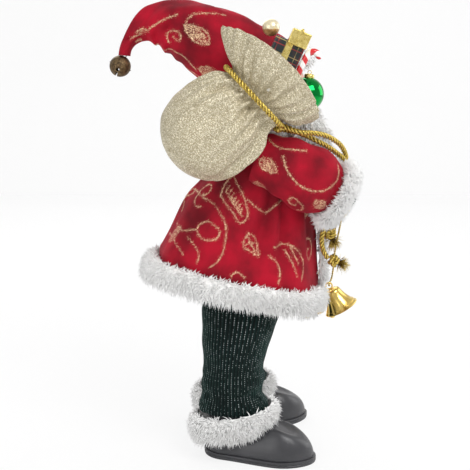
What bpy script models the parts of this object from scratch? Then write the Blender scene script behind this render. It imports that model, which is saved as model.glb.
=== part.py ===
"""A standing Father Christmas figure, dressed in cloth and fur, with a tied sack over one shoulder.

Metres, +Z up. The figure faces -Y, its right-hand side is -X, and the floor is z = 0.
The soft pieces are plain stuffed forms with their folds and gathers; the fine pile is not modelled.
"""
import math
from collections import namedtuple

import bmesh
import bpy
from mathutils import Matrix, Vector

# Clearance between pieces that touch
GAP = 0.0003

# The figure's middle, set off the origin so that the whole stands centred over it
MIDDLE_X = 0.0066
MIDDLE_Y = 0.0025

# Boots
STANCE = 0.040
TOE_OUT = math.radians(15)
BOOT_LENGTH = 0.112
BOOT_WIDTH = 0.052
BOOT_HEEL = 0.030
TOE_HEIGHT = 0.037
SOLE_THICKNESS = 0.006
SOLE_LIP = 0.0015
SHAFT_DEPTH = 0.027
SHAFT_WIDTH = 0.022
SHAFT_TOP = 0.0485

# Trouser legs
ANKLE_DEPTH = 0.035
ANKLE_WIDTH = 0.0275
SHIN_DEPTH = 0.0305
THIGH_DEPTH = 0.039
THIGH_WIDTH = 0.0285
LEG_TOP = 0.178

# Fur cuffs round the boots
BOOT_CUFF_LOW = -0.150
BOOT_CUFF_HIGH = 0.048
BOOT_CUFF_TILT_RISE = 0.0065
BOOT_CUFF_PILE = 0.0100

# Coat
COAT_WALL = 0.0024
BODY_EASE = 0.0035
SHOULDER_SLOPE = 1.8
HEM_Z = 0.1885
HEM_TILT = math.radians(11.2)
HEM_DEPTH = 0.0835
HEM_WIDTH = 0.076
HEM_LIFT = 0.003
WAIST_DEPTH = 0.066
WAIST_WIDTH = 0.060
CHEST_DEPTH = 0.054
CHEST_WIDTH = 0.053
SHOULDER_DEPTH = 0.040
SHOULDER_WIDTH = 0.050
NECK_DEPTH = 0.020
NECK_WIDTH = 0.023
NECK_Z = 0.328
FOLD_COUNT = 7
FOLD_DEPTH = 0.0028
HEM_FUR_HEIGHT = 0.031
HEM_FUR_OUT = 0.0105
HEM_FUR_IN = 0.0042
FRONT_FUR_WIDTH = 0.024
FRONT_FUR_THICKNESS = 0.0105
FRONT_FUR_FOOT = 0.015
FRONT_FUR_HEAD = 0.80
COLLAR_LOW = 0.88
COLLAR_PILE = 0.0078
NECK_STUB = 0.006
HIP_DEPTH = 0.042
HIP_WIDTH = 0.056
SEAT_Z = 0.208

# Arms
SLEEVE_HEIGHT = 0.0315
SLEEVE_WIDTH = 0.026
SHOULDER_X = 0.050
SLEEVE_LENGTH = 0.080
SLEEVE_FULLNESS = (0.76, 0.84, 0.92, 1.0, 0.98, 0.66)
CUFF_NEAR = 0.93
CUFF_FAR = 1.16
CUFF_PILE = 0.0145
STRAND_X = 0.016
STRAND_Y = -0.1101
STRAND_GAP = 0.0010
FIST_RADIUS = 0.0115
FIST_TALL = 1.08  # height over width
FIST_X = 0.0170
FIST_Y = -0.1100
FIST_Z = 0.2620
HAND_BEND = 0.0125
HAND_SIZES = (0.66, 0.80, 1.0, 0.45)
THUMB_RAISE = 0.004
THUMB_RADII = (0.0068, 0.0036, 0.0040)

# Head
HEAD_WIDTH = 0.0285
HEAD_DEPTH = 0.031
HEAD_HEIGHT = 0.037
HEAD_Y = -0.040
HEAD_Z = 0.364
NOSE_RADIUS = 0.0062
HAIR_THICKNESS = 0.009
HAIR_FRONT = -0.0355
BEARD_WIDTH = 0.036
BEARD_LENGTH = 0.047
BEARD_DEPTH = 0.027
MOUSTACHE_SPAN = 0.019
MOUSTACHE_RADIUS = 0.0062
BROW_LENGTH = 0.0085

# Cap
BRIM_DEPTH = 0.0400
BRIM_WIDTH = 0.0370
BRIM_TILT = math.radians(35)
BRIM_PILE = 0.0100
BRIM_DROP = 0.004
BRIM_RISE = 0.015
CAP_LENGTH = 0.170
CAP_BELL_RADIUS = 0.0105
CAP_BELL_WALL = 0.0012
CAP_BELL_SLOT = 0.0024
PELLET_RADIUS = 0.0026

# Sack
SACK_X = -0.066
SACK_SIDE = 0.037
SACK_BODY = 0.0458
NECK_HALF_HEIGHT = 0.0305
NECK_HALF_SIDE = 0.0200
NECK_EASE = 0.0038
NECK_SET_ON = -0.0008
NECK_SHARE = 0.17
MOUTH_HALF_HEIGHT = 0.0585
MOUTH_HALF_SIDE = 0.028
MOUTH_SIDE_RISE = 0.016
SACK_WALL = 0.0024
GATHER_COUNT = 7
GATHER_DEPTH = 0.0022
CORD_DIAMETER = 0.0052

# Things in the sack
GREEN_BOX_SIZE = (0.022, 0.028, 0.034)
GOLD_BOX_SIZE = (0.014, 0.0175, 0.0135)
RIBBON_WIDTH = 0.006
RIBBON_THICKNESS = 0.0008
GOLD_BALL_RADIUS = 0.0078
BAUBLE_RADIUS = 0.0155
BAUBLE_CAP_RADIUS = 0.0045
BAUBLE_CAP_AXIS = (0, -0.10, 0.995)
CANE_RADIUS = 0.0030
CANE_HOOK_RADIUS = 0.0055

# Hand bells
BELL_MOUTH_RADIUS = 0.0180
BELL_BELLY = 0.0012  # how far the flank swells
BELL_WAIST_RADIUS = 0.0088
BELL_HEIGHT = 0.0270
BELL_WALL = 0.0011
BELL_LEAN = math.radians(30)
CLAPPER_BALL = 0.0034
CLAPPER_WIRE = 0.0008
CLAPPER_LENGTH = 0.0245
LOOP_RADIUS = 0.0034
LOOP_WIRE = 0.0008
BELL_CORD_DIAMETER = 0.0022
BELL_STRAND_SPACING = 0.0034

# How finely round forms are divided
COAT_ROUND = 24
COAT_ROWS = 7
BODY_ROUND = 12
LEG_ROUND = 14
BOOT_ROUND = 18
CUFF_ROUND = 12
SLEEVE_ROUND = 14
CAP_ROUND = 16
CAP_ROWS = 12
COLLAR_ROUND = 16
HEAD_ROUND = 14
HEAD_ROWS = 8
SACK_ROUND = 24

Material = namedtuple("Material", "color roughness metallic")
BOOT_GREY = Material((0.10, 0.10, 0.11), 0.38, 0.0)
TROUSER_GREEN = Material((0.010, 0.030, 0.024), 0.85, 0.0)
COAT_RED = Material((0.36, 0.006, 0.016), 0.75, 0.0)
FUR_WHITE = Material((0.83, 0.83, 0.84), 0.95, 0.0)
STUFFING = Material((0.75, 0.73, 0.68), 0.95, 0.0)
SKIN = Material((0.72, 0.42, 0.31), 0.55, 0.0)
MITTEN_GREEN = Material((0.012, 0.04, 0.03), 0.9, 0.0)
HAIR_WHITE = Material((0.86, 0.85, 0.83), 0.9, 0.0)
SACK_GOLD = Material((0.52, 0.47, 0.36), 0.5, 0.35)
CORD_GOLD = Material((0.66, 0.46, 0.10), 0.35, 0.8)
BRASS = Material((0.78, 0.60, 0.18), 0.2, 1.0)
OLD_BRASS = Material((0.16, 0.11, 0.06), 0.4, 0.9)
BOX_GREEN = Material((0.02, 0.07, 0.05), 0.4, 0.0)
FOIL_GOLD = Material((0.80, 0.66, 0.22), 0.3, 0.9)
PEARL_GOLD = Material((0.70, 0.58, 0.36), 0.35, 0.5)
BAUBLE_GREEN = Material((0.01, 0.22, 0.05), 0.08, 0.2)
CANDY_RED = Material((0.75, 0.05, 0.05), 0.25, 0.0)

Section = namedtuple("Section", "x y z depth width tilt")

PARTS = "father_christmas"
SIDES = (("right", -1), ("left", 1))
CUTTERS = "cutters"


# Scene and material helpers


def clear_scene():
    """Start from an empty file."""
    for item in list(bpy.data.objects):
        bpy.data.objects.remove(item, do_unlink=True)


def make_collection(name):
    """Add a collection to the scene."""
    collection = bpy.data.collections.new(name)
    bpy.context.scene.collection.children.link(collection)
    return collection


def make_material(name, look):
    """A Principled material of one colour."""
    material = bpy.data.materials.get(name)
    if material is None:
        material = bpy.data.materials.new(name)
        material.use_nodes = True
        shader = material.node_tree.nodes["Principled BSDF"]
        shader.inputs["Base Color"].default_value = (*look.color, 1.0)
        shader.inputs["Roughness"].default_value = look.roughness
        shader.inputs["Metallic"].default_value = look.metallic
    return material


def add_object(name, bm, look, collection=PARTS):
    """Turn a bmesh into a smooth-shaded object of its own material, carried by the figure's empty."""
    bmesh.ops.recalc_face_normals(bm, faces=bm.faces)
    mesh = bpy.data.meshes.new(name)
    bm.to_mesh(mesh)
    bm.free()
    mesh.shade_smooth()
    item = bpy.data.objects.new(name, mesh)
    bpy.data.collections[collection].objects.link(item)
    item.parent = bpy.data.objects["figure"]
    if look is not None:
        mesh.materials.append(make_material(name, look))
    return item


def as_cutter(item):
    """Hide an object that only cuts others."""
    for collection in list(item.users_collection):
        collection.objects.unlink(item)
    bpy.data.collections[CUTTERS].objects.link(item)
    item.hide_render = True
    item.display_type = "WIRE"
    return item


def cut(item, cutter):
    """Take the cutter's shape out of an object."""
    modifier = item.modifiers.new("cut_by_" + cutter.name, "BOOLEAN")
    modifier.operation = "DIFFERENCE"
    modifier.object = cutter


def join(item, other):
    """Add the other object's shape to an object."""
    as_cutter(other)
    modifier = item.modifiers.new("joined_" + other.name, "BOOLEAN")
    modifier.operation = "UNION"
    modifier.object = other


def grown(item, name, amount):
    """A copy of an object's base shape, pushed outwards, as a cutter."""
    bpy.context.view_layer.update()
    graph = bpy.context.evaluated_depsgraph_get()
    mesh = bpy.data.meshes.new_from_object(item.evaluated_get(graph))
    bm = bmesh.new()
    bm.from_mesh(mesh)
    bmesh.ops.recalc_face_normals(bm, faces=bm.faces)
    bm.normal_update()
    for vert in bm.verts:
        vert.co += vert.normal * amount * vert.calc_shell_factor()
    bm.to_mesh(mesh)
    bm.free()
    copy = bpy.data.objects.new(name, mesh)
    bpy.data.collections[CUTTERS].objects.link(copy)
    copy.parent = bpy.data.objects["figure"]
    copy.hide_render = True
    copy.display_type = "WIRE"
    return copy


# Shape helpers


def smooth_value(values, t):
    """Read a smooth curve through equally spaced values at t between 0 and 1."""
    spans = len(values) - 1
    index = min(int(t * spans), spans - 1)
    u = t * spans - index
    before = values[max(index - 1, 0)]
    start = values[index]
    end = values[index + 1]
    after = values[min(index + 2, spans)]
    first = (end - before) / 2
    last = (after - start) / 2
    return (start * (2 * u**3 - 3 * u**2 + 1) + first * (u**3 - 2 * u**2 + u)
            + end * (3 * u**2 - 2 * u**3) + last * (u**3 - u**2))


def smooth_route(points, count):
    """Points along a smooth curve through a route."""
    route = [Vector(p) for p in points]
    return [Vector(smooth_value([p[axis] for p in route], i / (count - 1)) for axis in range(3))
            for i in range(count)]


def section_at(sections, t):
    """The section at t between 0, the first, and 1, the last."""
    return Section(*(smooth_value([getattr(s, field) for s in sections], t) for field in Section._fields))


def oval_point(section, angle, out=0.0):
    """A point on a section: angle 0 is the front, a quarter turn is the figure's left."""
    forward = Vector((0, -math.cos(section.tilt), -math.sin(section.tilt)))
    side = Vector((1, 0, 0))
    centre = Vector((section.x, section.y, section.z))
    return (centre + forward * (section.depth + out) * math.cos(angle)
            + side * (section.width + out) * math.sin(angle))


def turns(count):
    """Equally spaced angles round a circle."""
    return [2 * math.pi * i / count for i in range(count)]


def middle(ring):
    """The mean of a ring's points."""
    return sum((Vector(p) for p in ring), Vector()) / len(ring)


def frame_along(direction, up=Vector((0, 0, 1))):
    """Two unit vectors square to a direction: the first nearest to up, the second to its side."""
    direction = direction.normalized()
    first = (up - direction * up.dot(direction)).normalized()
    return first, direction.cross(first).normalized()


def loft(rings, start=None, end=None, closed=False):
    """A skin over rings of points; start and end are the points that close it, or None for open."""
    bm = bmesh.new()
    loops = [[bm.verts.new(point) for point in ring] for ring in rings]
    count = len(rings[0])
    pairs = list(zip(loops, loops[1:]))
    if closed:
        pairs.append((loops[-1], loops[0]))
    for lower, upper in pairs:
        for i in range(count):
            j = (i + 1) % count
            bm.faces.new((lower[i], lower[j], upper[j], upper[i]))
    for point, loop in ((start, loops[0]), (end, loops[-1])):
        if point is None:
            continue
        pole = bm.verts.new(point)
        for i in range(count):
            bm.faces.new((loop[i], loop[(i + 1) % count], pole))
    return bm


def solid_loft(name, rings, look, collection=PARTS):
    """A loft closed flat at both ends."""
    return add_object(name, loft(rings, middle(rings[0]), middle(rings[-1])), look, collection)


def surface_band(name, surface, near, far, thickness, look, angles, clear):
    """A fur roll lying on a surface between two values of t, flat against it and round outside."""
    rings = []
    for angle in angles:
        ring = [surface(near + (far - near) * i / 3, angle, clear) for i in range(4)]
        for share in (0.92, 0.66, 0.34, 0.08):
            crown = math.sin(math.pi * share) ** 0.55
            ring.append(surface(near + (far - near) * (0.5 + 1.12 * (share - 0.5)), angle,
                                clear + thickness * crown))
        rings.append(ring)
    return add_object(name, loft(rings, closed=True), look)


def ellipsoid(name, centre, radii, look, segments=24, rings=14, turn=None):
    """A ball stretched to three radii."""
    bm = bmesh.new()
    bmesh.ops.create_uvsphere(bm, u_segments=segments, v_segments=rings, radius=1.0)
    matrix = Matrix.Translation(Vector(centre)) @ (turn or Matrix()) @ Matrix.Diagonal((*radii, 1.0))
    bmesh.ops.transform(bm, matrix=matrix, verts=bm.verts)
    return add_object(name, bm, look)


def box_cutter(name, matrix):
    """A box that only cuts."""
    bm = bmesh.new()
    bmesh.ops.create_cube(bm, size=1.0)
    bmesh.ops.transform(bm, matrix=matrix, verts=bm.verts)
    return as_cutter(add_object(name, bm, None))


def torus_section(centre, outward, along, out, up, count=10):
    """An oval of points in the plane of two directions, for a fur roll."""
    return [centre + outward * out * math.cos(a) + along * up * math.sin(a) for a in turns(count)]


def ring_object(name, centre, ring_radius, wire, axis, look=None, matrix=None):
    """A wire ring round an axis."""
    first, second = frame_along(axis, Vector((0, 0, 1)) if abs(axis.z) < 0.9 else Vector((0, 1, 0)))
    rings = []
    for angle in turns(8):
        outward = first * math.cos(angle) + second * math.sin(angle)
        rings.append(torus_section(centre + outward * ring_radius, outward, axis, wire, wire, 5))
    bm = loft(rings, closed=True)
    if matrix is not None:
        bmesh.ops.transform(bm, matrix=matrix, verts=bm.verts)
    return add_object(name, bm, look)


def turned(name, profile, matrix, look, steps=11):
    """A turned shape from a profile of radius and height, top to bottom outside and back up inside."""
    bm = bmesh.new()
    verts = [bm.verts.new((radius, 0, height)) for radius, height in profile]
    for first, second in zip(verts, verts[1:]):
        bm.edges.new((first, second))
    mesh = bpy.data.meshes.new(name)
    bm.to_mesh(mesh)
    bm.free()
    item = bpy.data.objects.new(name, mesh)
    bpy.data.collections[PARTS].objects.link(item)
    item.parent = bpy.data.objects["figure"]
    item.matrix_local = matrix
    screw = item.modifiers.new("turned", "SCREW")
    screw.steps = steps
    screw.render_steps = steps
    screw.use_merge_vertices = True
    screw.merge_threshold = 0.00001
    if look is not None:
        mesh.materials.append(make_material(name, look))
    return item


def tube(name, points, diameter, look, resolution=2):
    """A cord or wire through a route's points."""
    curve = bpy.data.curves.new(name, "CURVE")
    curve.dimensions = "3D"
    curve.bevel_depth = diameter / 2
    curve.bevel_resolution = resolution
    curve.use_fill_caps = True
    spline = curve.splines.new("POLY")
    spline.points.add(len(points) - 1)
    for target, point in zip(spline.points, points):
        target.co = (*point, 1.0)
    item = bpy.data.objects.new(name, curve)
    bpy.data.collections[PARTS].objects.link(item)
    item.parent = bpy.data.objects["figure"]
    if look is not None:
        curve.materials.append(make_material(name, look))
    return item


def as_mesh(item):
    """A closed mesh of a curve object, in its place."""
    bpy.context.view_layer.update()
    graph = bpy.context.evaluated_depsgraph_get()
    mesh = bpy.data.meshes.new_from_object(item.evaluated_get(graph))
    bm = bmesh.new()
    bm.from_mesh(mesh)
    bmesh.ops.remove_doubles(bm, verts=bm.verts, dist=0.00001)
    bmesh.ops.recalc_face_normals(bm, faces=bm.faces)
    bm.to_mesh(mesh)
    bm.free()
    name = item.name
    solid = bpy.data.objects.new(name + "_solid", mesh)
    bpy.data.collections[PARTS].objects.link(solid)
    solid.parent = item.parent
    bpy.data.objects.remove(item, do_unlink=True)
    solid.name = name
    return solid


def cord_space(name, points, room):
    """The room that a cord presses out of what it lies on."""
    return as_cutter(as_mesh(tube(name, points, CORD_DIAMETER + 2 * room, None, 1)))


# The coat and its fur, which the other pieces are fitted to


def coat_sections():
    """The coat's cross sections, from the hem up to the neck; the body leans forward."""
    return [
        Section(0, -0.003, HEM_Z, HEM_DEPTH, HEM_WIDTH, HEM_TILT),
        Section(0, -0.010, 0.216, 0.0745, 0.0655, HEM_TILT),
        Section(0, -0.017, 0.245, WAIST_DEPTH, WAIST_WIDTH, math.radians(12)),
        Section(0, -0.024, 0.272, CHEST_DEPTH, CHEST_WIDTH, math.radians(10)),
        Section(0, -0.029, 0.300, SHOULDER_DEPTH, SHOULDER_WIDTH, math.radians(8)),
        Section(0, -0.033, 0.319, 0.029, 0.037, math.radians(8)),
        Section(0, -0.036, NECK_Z, NECK_DEPTH, NECK_WIDTH, math.radians(8)),
    ]


def coat_point(t, angle, out=0.0):
    """A point on the coat's outside: t is 0 at the hem and 1 at the neck, and out lifts it off."""
    section = section_at(coat_sections(), t)
    fade = max(0.0, 1.0 - 1.6 * t) ** 1.5
    fold = FOLD_DEPTH * fade * math.sin(FOLD_COUNT * angle + 0.8) * (1 - 0.5 * math.cos(angle) ** 8)
    point = oval_point(section, angle, out + fold)
    point.z += HEM_LIFT * fade * math.sin(angle) ** 2
    return point


def coat_frame(t, angle):
    """The outward and upward directions of the coat's surface."""
    step = 0.004
    around = coat_point(t, angle + step) - coat_point(t, angle - step)
    up = coat_point(min(t + step, 1), angle) - coat_point(max(t - step, 0), angle)
    outward = around.cross(up).normalized()
    return outward, up.normalized()


def make_coat():
    """The coat's cloth, an open bell of one wall."""
    rings = [[coat_point(row / COAT_ROWS, angle) for angle in turns(COAT_ROUND)]
             for row in range(COAT_ROWS + 1)]
    coat = add_object("coat", loft(rings), COAT_RED)
    wall = coat.modifiers.new("cloth", "SOLIDIFY")
    wall.thickness = COAT_WALL
    wall.offset = -1.0
    wall.use_even_offset = True
    return coat


def make_coat_cutter(name, out):
    """The space that the coat and the neck fill, a little larger, for what leans on them."""
    rings = [[coat_point(row / COAT_ROWS, angle, out) for angle in turns(COAT_ROUND)]
             for row in range(COAT_ROWS + 1)]
    rings.append([point + Vector((0, 0, NECK_STUB + 2 * GAP)) for point in rings[-1]])
    return as_cutter(solid_loft(name, rings, None))


def make_hem_fur():
    """The thick fur roll under the coat's edge."""
    rings = []
    for angle in turns(COAT_ROUND):
        outward, up = coat_frame(0.0, angle)
        edge = coat_point(0.0, angle)
        shift = (HEM_FUR_OUT - HEM_FUR_IN) / 2 - COAT_WALL / 2
        half = (HEM_FUR_OUT + HEM_FUR_IN) / 2 + COAT_WALL / 2
        centre = edge + outward * shift - up * (HEM_FUR_HEIGHT / 2 + GAP)
        rings.append(torus_section(centre, outward, up, half, HEM_FUR_HEIGHT / 2 - GAP, 7))
    return add_object("hem_fur", loft(rings, closed=True), FUR_WHITE)


def make_front_fur():
    """The fur band down the front edges, from the collar to the hem roll."""
    rings = []
    rows = 8
    across = 3
    for row in range(rows + 1):
        t = FRONT_FUR_FOOT + (FRONT_FUR_HEAD - FRONT_FUR_FOOT) * row / rows
        section = section_at(coat_sections(), t)
        half_angle = math.asin(FRONT_FUR_WIDTH / 2 / section.width)
        ring = [coat_point(t, half_angle * (2 * i / across - 1), GAP * 2) for i in range(across + 1)]
        for i in range(across + 1):
            share = 1 - 2 * i / across
            crown = 0.45 + 0.55 * math.sqrt(max(0.0, 1 - share**2 / 1.1))
            ring.append(coat_point(t, half_angle * share, GAP * 2 + FRONT_FUR_THICKNESS * crown))
        rings.append(ring)
    return solid_loft("front_fur", rings, FUR_WHITE)


def make_collar(head_space):
    """The fur collar round the neck."""
    collar = surface_band("collar", coat_point, COLLAR_LOW, 1.0, COLLAR_PILE, FUR_WHITE,
                          turns(COLLAR_ROUND), 6 * GAP)
    cut(collar, head_space)
    return collar


def make_body():
    """The stuffed body inside the coat, from the hips to the neck."""
    inside = -COAT_WALL * SHOULDER_SLOPE - 3 * GAP
    hips = Section(0, -0.007, LEG_TOP + GAP, HIP_DEPTH, HIP_WIDTH, 0)
    seat = Section(0, -0.012, SEAT_Z, HIP_DEPTH + 0.008, HIP_WIDTH, HEM_TILT / 2)
    rings = [[oval_point(hips, a, -0.010) for a in turns(BODY_ROUND)]]
    rings += [[oval_point(hips, a) + Vector((0, 0, 0.006)) for a in turns(BODY_ROUND)]]
    rings += [[oval_point(seat, a) for a in turns(BODY_ROUND)]]
    rows = 8
    for row in range(3, rows + 1):
        t = row / rows
        section = section_at(coat_sections(), t)
        rings.append([oval_point(section, a, inside - BODY_EASE * (1 - t)) for a in turns(BODY_ROUND)])
    neck = section_at(coat_sections(), 1.0)
    top = neck._replace(z=neck.z + NECK_STUB, y=neck.y - 0.001)
    rings.append([oval_point(top, a, inside) for a in turns(BODY_ROUND)])
    return solid_loft("body", rings, STUFFING)


# Legs and boots


def leg_sections():
    """A leg's cross sections from the ankle up."""
    return [
        Section(0, 0.001, SHAFT_TOP + GAP, ANKLE_DEPTH, ANKLE_WIDTH, 0),
        Section(0, 0.002, 0.070, 0.0315, 0.0275, 0),
        Section(0, 0.0015, 0.095, SHIN_DEPTH, 0.0275, 0),
        Section(0, -0.002, 0.123, 0.0345, 0.0295, 0),
        Section(0, -0.006, 0.151, THIGH_DEPTH, THIGH_WIDTH, 0),
        Section(0, -0.007, LEG_TOP, THIGH_DEPTH, THIGH_WIDTH, 0),
    ]


def leg_point(side, t, angle, out=0.0):
    """A point on a leg's outside: t is 0 at the ankle and 1 at the hip."""
    low = min(t, 0.0) * LEG_TOP
    section = section_at(leg_sections(), max(t, 0.0))
    fold = 0.0018 * math.sin(t * 26) * math.exp(-((t - 0.18) / 0.16) ** 2) * (1 + 0.6 * math.cos(angle))
    point = oval_point(section, angle, out + fold)
    return point + Vector((side * STANCE, 0, low))


def make_leg(name, side):
    """A trouser leg, stuffed, with the soft folds above the boot."""
    rows = (0.0, 0.06, 0.13, 0.20, 0.28, 0.40, 0.60, 0.80, 1.0)
    rings = [[leg_point(side, t, angle) for angle in turns(LEG_ROUND)] for t in rows]
    return solid_loft(name, rings, TROUSER_GREEN)


def boot_half_width(u):
    """A boot's half width along its length: u is 0 at the heel and 1 at the toe."""
    heel = math.sqrt(max(0.0, 1 - ((0.20 - u) / 0.20) ** 2)) if u < 0.20 else 1.0
    toe = math.sqrt(max(0.0, 1 - ((u - 0.66) / 0.34) ** 2)) if u > 0.66 else 1.0
    swell = 0.80 + 0.20 * math.sin(math.pi * (u - 0.15) / 1.15) ** 2
    return BOOT_WIDTH / 2 * min(heel, toe) * swell


def make_boot(name, side):
    """A moulded boot: a flat sole with a lip, a round toe cap, and a short shaft."""
    count = BOOT_ROUND
    steps = [0.5 - 0.5 * math.cos(a) for a in turns(count)]
    sides = [1 if i <= count / 2 else -1 for i in range(count)]
    turn = Matrix.Rotation(side * TOE_OUT, 4, "Z")
    place = Matrix.Translation((side * STANCE, 0, 0)) @ turn

    def ring(height, out):
        points = []
        for u, flank in zip(steps, sides):
            half = boot_half_width(u)
            y = BOOT_HEEL - u * BOOT_LENGTH
            reach = flank * (half + out * math.sin(math.pi * u))
            points.append(Vector((reach, y + out * math.cos(math.pi * u), height(u))))
        return points

    def upper_height(share):
        def height(u):
            toe = TOE_HEIGHT * (1.0 - 0.22 * max(0.0, (u - 0.75) / 0.25) ** 2)
            return SOLE_THICKNESS + (toe - SOLE_THICKNESS) * share
        return height

    rings = [ring(lambda u: 0.0, 0.0), ring(lambda u: SOLE_THICKNESS - 0.0005, SOLE_LIP),
             ring(lambda u: SOLE_THICKNESS, -0.0006)]
    layers = 5
    for k in range(1, layers + 1):
        angle = k / (layers + 1) * math.pi / 2
        rings.append(ring(upper_height(math.sin(angle)), -0.0006 - 0.017 * (1 - math.cos(angle))))
    bm = loft(rings, middle(rings[0]), middle(rings[-1]) + Vector((0, 0, 0.0006)))
    bmesh.ops.transform(bm, matrix=place, verts=bm.verts)
    boot = add_object(name, bm, BOOT_GREY)
    shaft_rings = []
    for z, inset in ((SOLE_THICKNESS + 0.004, 0.0), (SHAFT_TOP - 0.002, 0.0), (SHAFT_TOP, 0.002)):
        shaft = Section(0, 0, z, SHAFT_DEPTH - inset, SHAFT_WIDTH - inset, 0)
        shaft_rings.append([place @ oval_point(shaft, a) for a in turns(16)])
    join(boot, solid_loft(name + "_shaft", shaft_rings, None))
    return boot


def make_boot_cuff(name, side, boot):
    """A fur roll round the ankle, resting on the boot."""
    def surface(t, angle, out):
        tilt = BOOT_CUFF_TILT_RISE * math.cos(angle)
        return leg_point(side, t, angle, out) + Vector((0, 0, tilt))

    cuff = surface_band(name, surface, BOOT_CUFF_LOW, BOOT_CUFF_HIGH, BOOT_CUFF_PILE, FUR_WHITE,
                        turns(CUFF_ROUND), 5 * GAP)
    cut(cuff, grown(boot, name + "_boot_space", 2 * GAP))
    return cuff


# Arms and hands


def arm_route(side):
    """The middle line of an arm, from the shoulder to the wrist."""
    return [Vector((side * SHOULDER_X, -0.022, 0.304)), Vector((side * 0.056, -0.056, 0.291)),
            Vector((side * 0.046, -0.094, 0.270))]


def arm_line(side, t):
    """A point of an arm's middle line and its direction; past 1 it runs straight on."""
    route = arm_route(side)
    share = min(t, 1.0)
    step = 0.01
    centre, before, after = (Vector(smooth_value([p[axis] for p in route], min(max(s, 0.0), 1.0))
                                    for axis in range(3)) for s in (share, share - step, share + step))
    direction = (after - before).normalized()
    return centre + direction * max(0.0, t - 1.0) * SLEEVE_LENGTH, direction


def sleeve_point(side, t, angle, out=0.0):
    """A point on a sleeve: t is 0 at the shoulder and 1 at the wrist."""
    share = min(t, 1.0)
    centre, direction = arm_line(side, t)
    up, across = frame_along(direction)
    full = smooth_value(SLEEVE_FULLNESS, share)
    crease = 0.0011 * math.sin(share * 21) * math.sin(math.pi * share)
    high = SLEEVE_HEIGHT * full + crease + out
    wide = SLEEVE_WIDTH * full + crease + out
    return centre + up * high * math.cos(angle) + across * wide * math.sin(angle)


def make_sleeve(name, side, coat_space):
    """A full sleeve over its stuffed arm, drawn in at the wrist, with soft creases at the bend."""
    rows = (0.0, 0.2, 0.4, 0.55, 0.68, 0.80, 0.90, 1.0)
    rings = [[sleeve_point(side, t, angle) for angle in turns(SLEEVE_ROUND)] for t in rows]
    sleeve = solid_loft(name, rings, COAT_RED)
    cut(sleeve, coat_space)
    return sleeve


def make_sleeve_cuff(name, side, hand):
    """The fur roll at a wrist."""
    cuff = surface_band(name, lambda t, angle, out: sleeve_point(side, t, angle, out),
                        CUFF_NEAR, CUFF_FAR, CUFF_PILE, FUR_WHITE, turns(SLEEVE_ROUND), 3 * GAP)
    cut(cuff, grown(hand, name + "_hand_space", GAP * 1.2))
    return cuff


def fist_centre(side):
    """The middle of a closed hand."""
    return Vector((side * FIST_X, FIST_Y, FIST_Z))


def make_hand(name, side):
    """A mitten closed round a cord, its thumb across the front."""
    start, direction = arm_line(side, 1.0)
    start = start + direction * 2 * GAP
    fist = fist_centre(side)
    bend = start + direction * HAND_BEND
    beyond = fist + (fist - bend).normalized() * FIST_RADIUS * 0.92
    line = smooth_route([start, bend, fist, beyond], 8)
    rings = []
    last = len(line) - 1
    for i, centre in enumerate(line):
        up, across = frame_along(line[min(i + 1, last)] - line[max(i - 1, 0)] if i else direction)
        size = FIST_RADIUS * smooth_value(HAND_SIZES, i / last)
        rings.append([centre + up * size * FIST_TALL * math.cos(a) + across * size * math.sin(a)
                      for a in turns(10)])
    hand = solid_loft(name, rings, MITTEN_GREEN)
    thumb_place = fist + Vector((0, -FIST_RADIUS * 0.80, THUMB_RAISE))
    join(hand, ellipsoid(name + "_thumb", thumb_place, THUMB_RADII, None, 10, 6))
    return hand


def cut_cord_channel(hand, centre, half_x, half_y):
    """The hollow through a closed hand that two strands of a cord run in."""
    rings = []
    for lift in (-2 * FIST_RADIUS, 2 * FIST_RADIUS):
        place = centre + Vector((0, 0, lift))
        rings.append([place + Vector((half_x * math.sin(a), half_y * math.cos(a), 0)) for a in turns(12)])
    cut(hand, as_cutter(solid_loft(hand.name + "_cord_channel", rings, None)))


def make_arms(coat_space):
    """Both arms with their hands, cuffs and the cords' channels; returns the sleeves by side."""
    route = sack_cord_route()
    sleeves = {}
    for name, side in SIDES:
        sleeves[name] = make_sleeve(name + "_sleeve", side, coat_space)
        hand = make_hand(name + "_hand", side)
        cuff = make_sleeve_cuff(name + "_sleeve_cuff", side, hand)
        fist = fist_centre(side)
        if side < 0:
            strands = Vector((-STRAND_X, STRAND_Y, fist.z))
            cut_cord_channel(hand, strands, CORD_DIAMETER / 2 + 4 * GAP,
                             CORD_DIAMETER + STRAND_GAP / 2 + 4 * GAP)
            cut(cuff, cord_space("cuff_tail_space", route[2:7], 3 * GAP))
            cut(cuff, cord_space("cuff_first_space", route[7:14], 3 * GAP))
            cut(cuff, cord_space("cuff_second_space", route[-11:-4], 3 * GAP))
        else:
            half = BELL_CORD_DIAMETER / 2 + 3 * GAP
            cut_cord_channel(hand, fist, half, half + BELL_STRAND_SPACING / 2)
    return sleeves


# Head


def make_head_space():
    """The room that the plain head takes in the pieces round it."""
    radii = (HEAD_WIDTH + 3 * GAP, HEAD_DEPTH + 3 * GAP, HEAD_HEIGHT + 3 * GAP)
    return as_cutter(ellipsoid("head_space", (0, HEAD_Y, HEAD_Z), radii, None, HEAD_ROUND, HEAD_ROWS))


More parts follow.
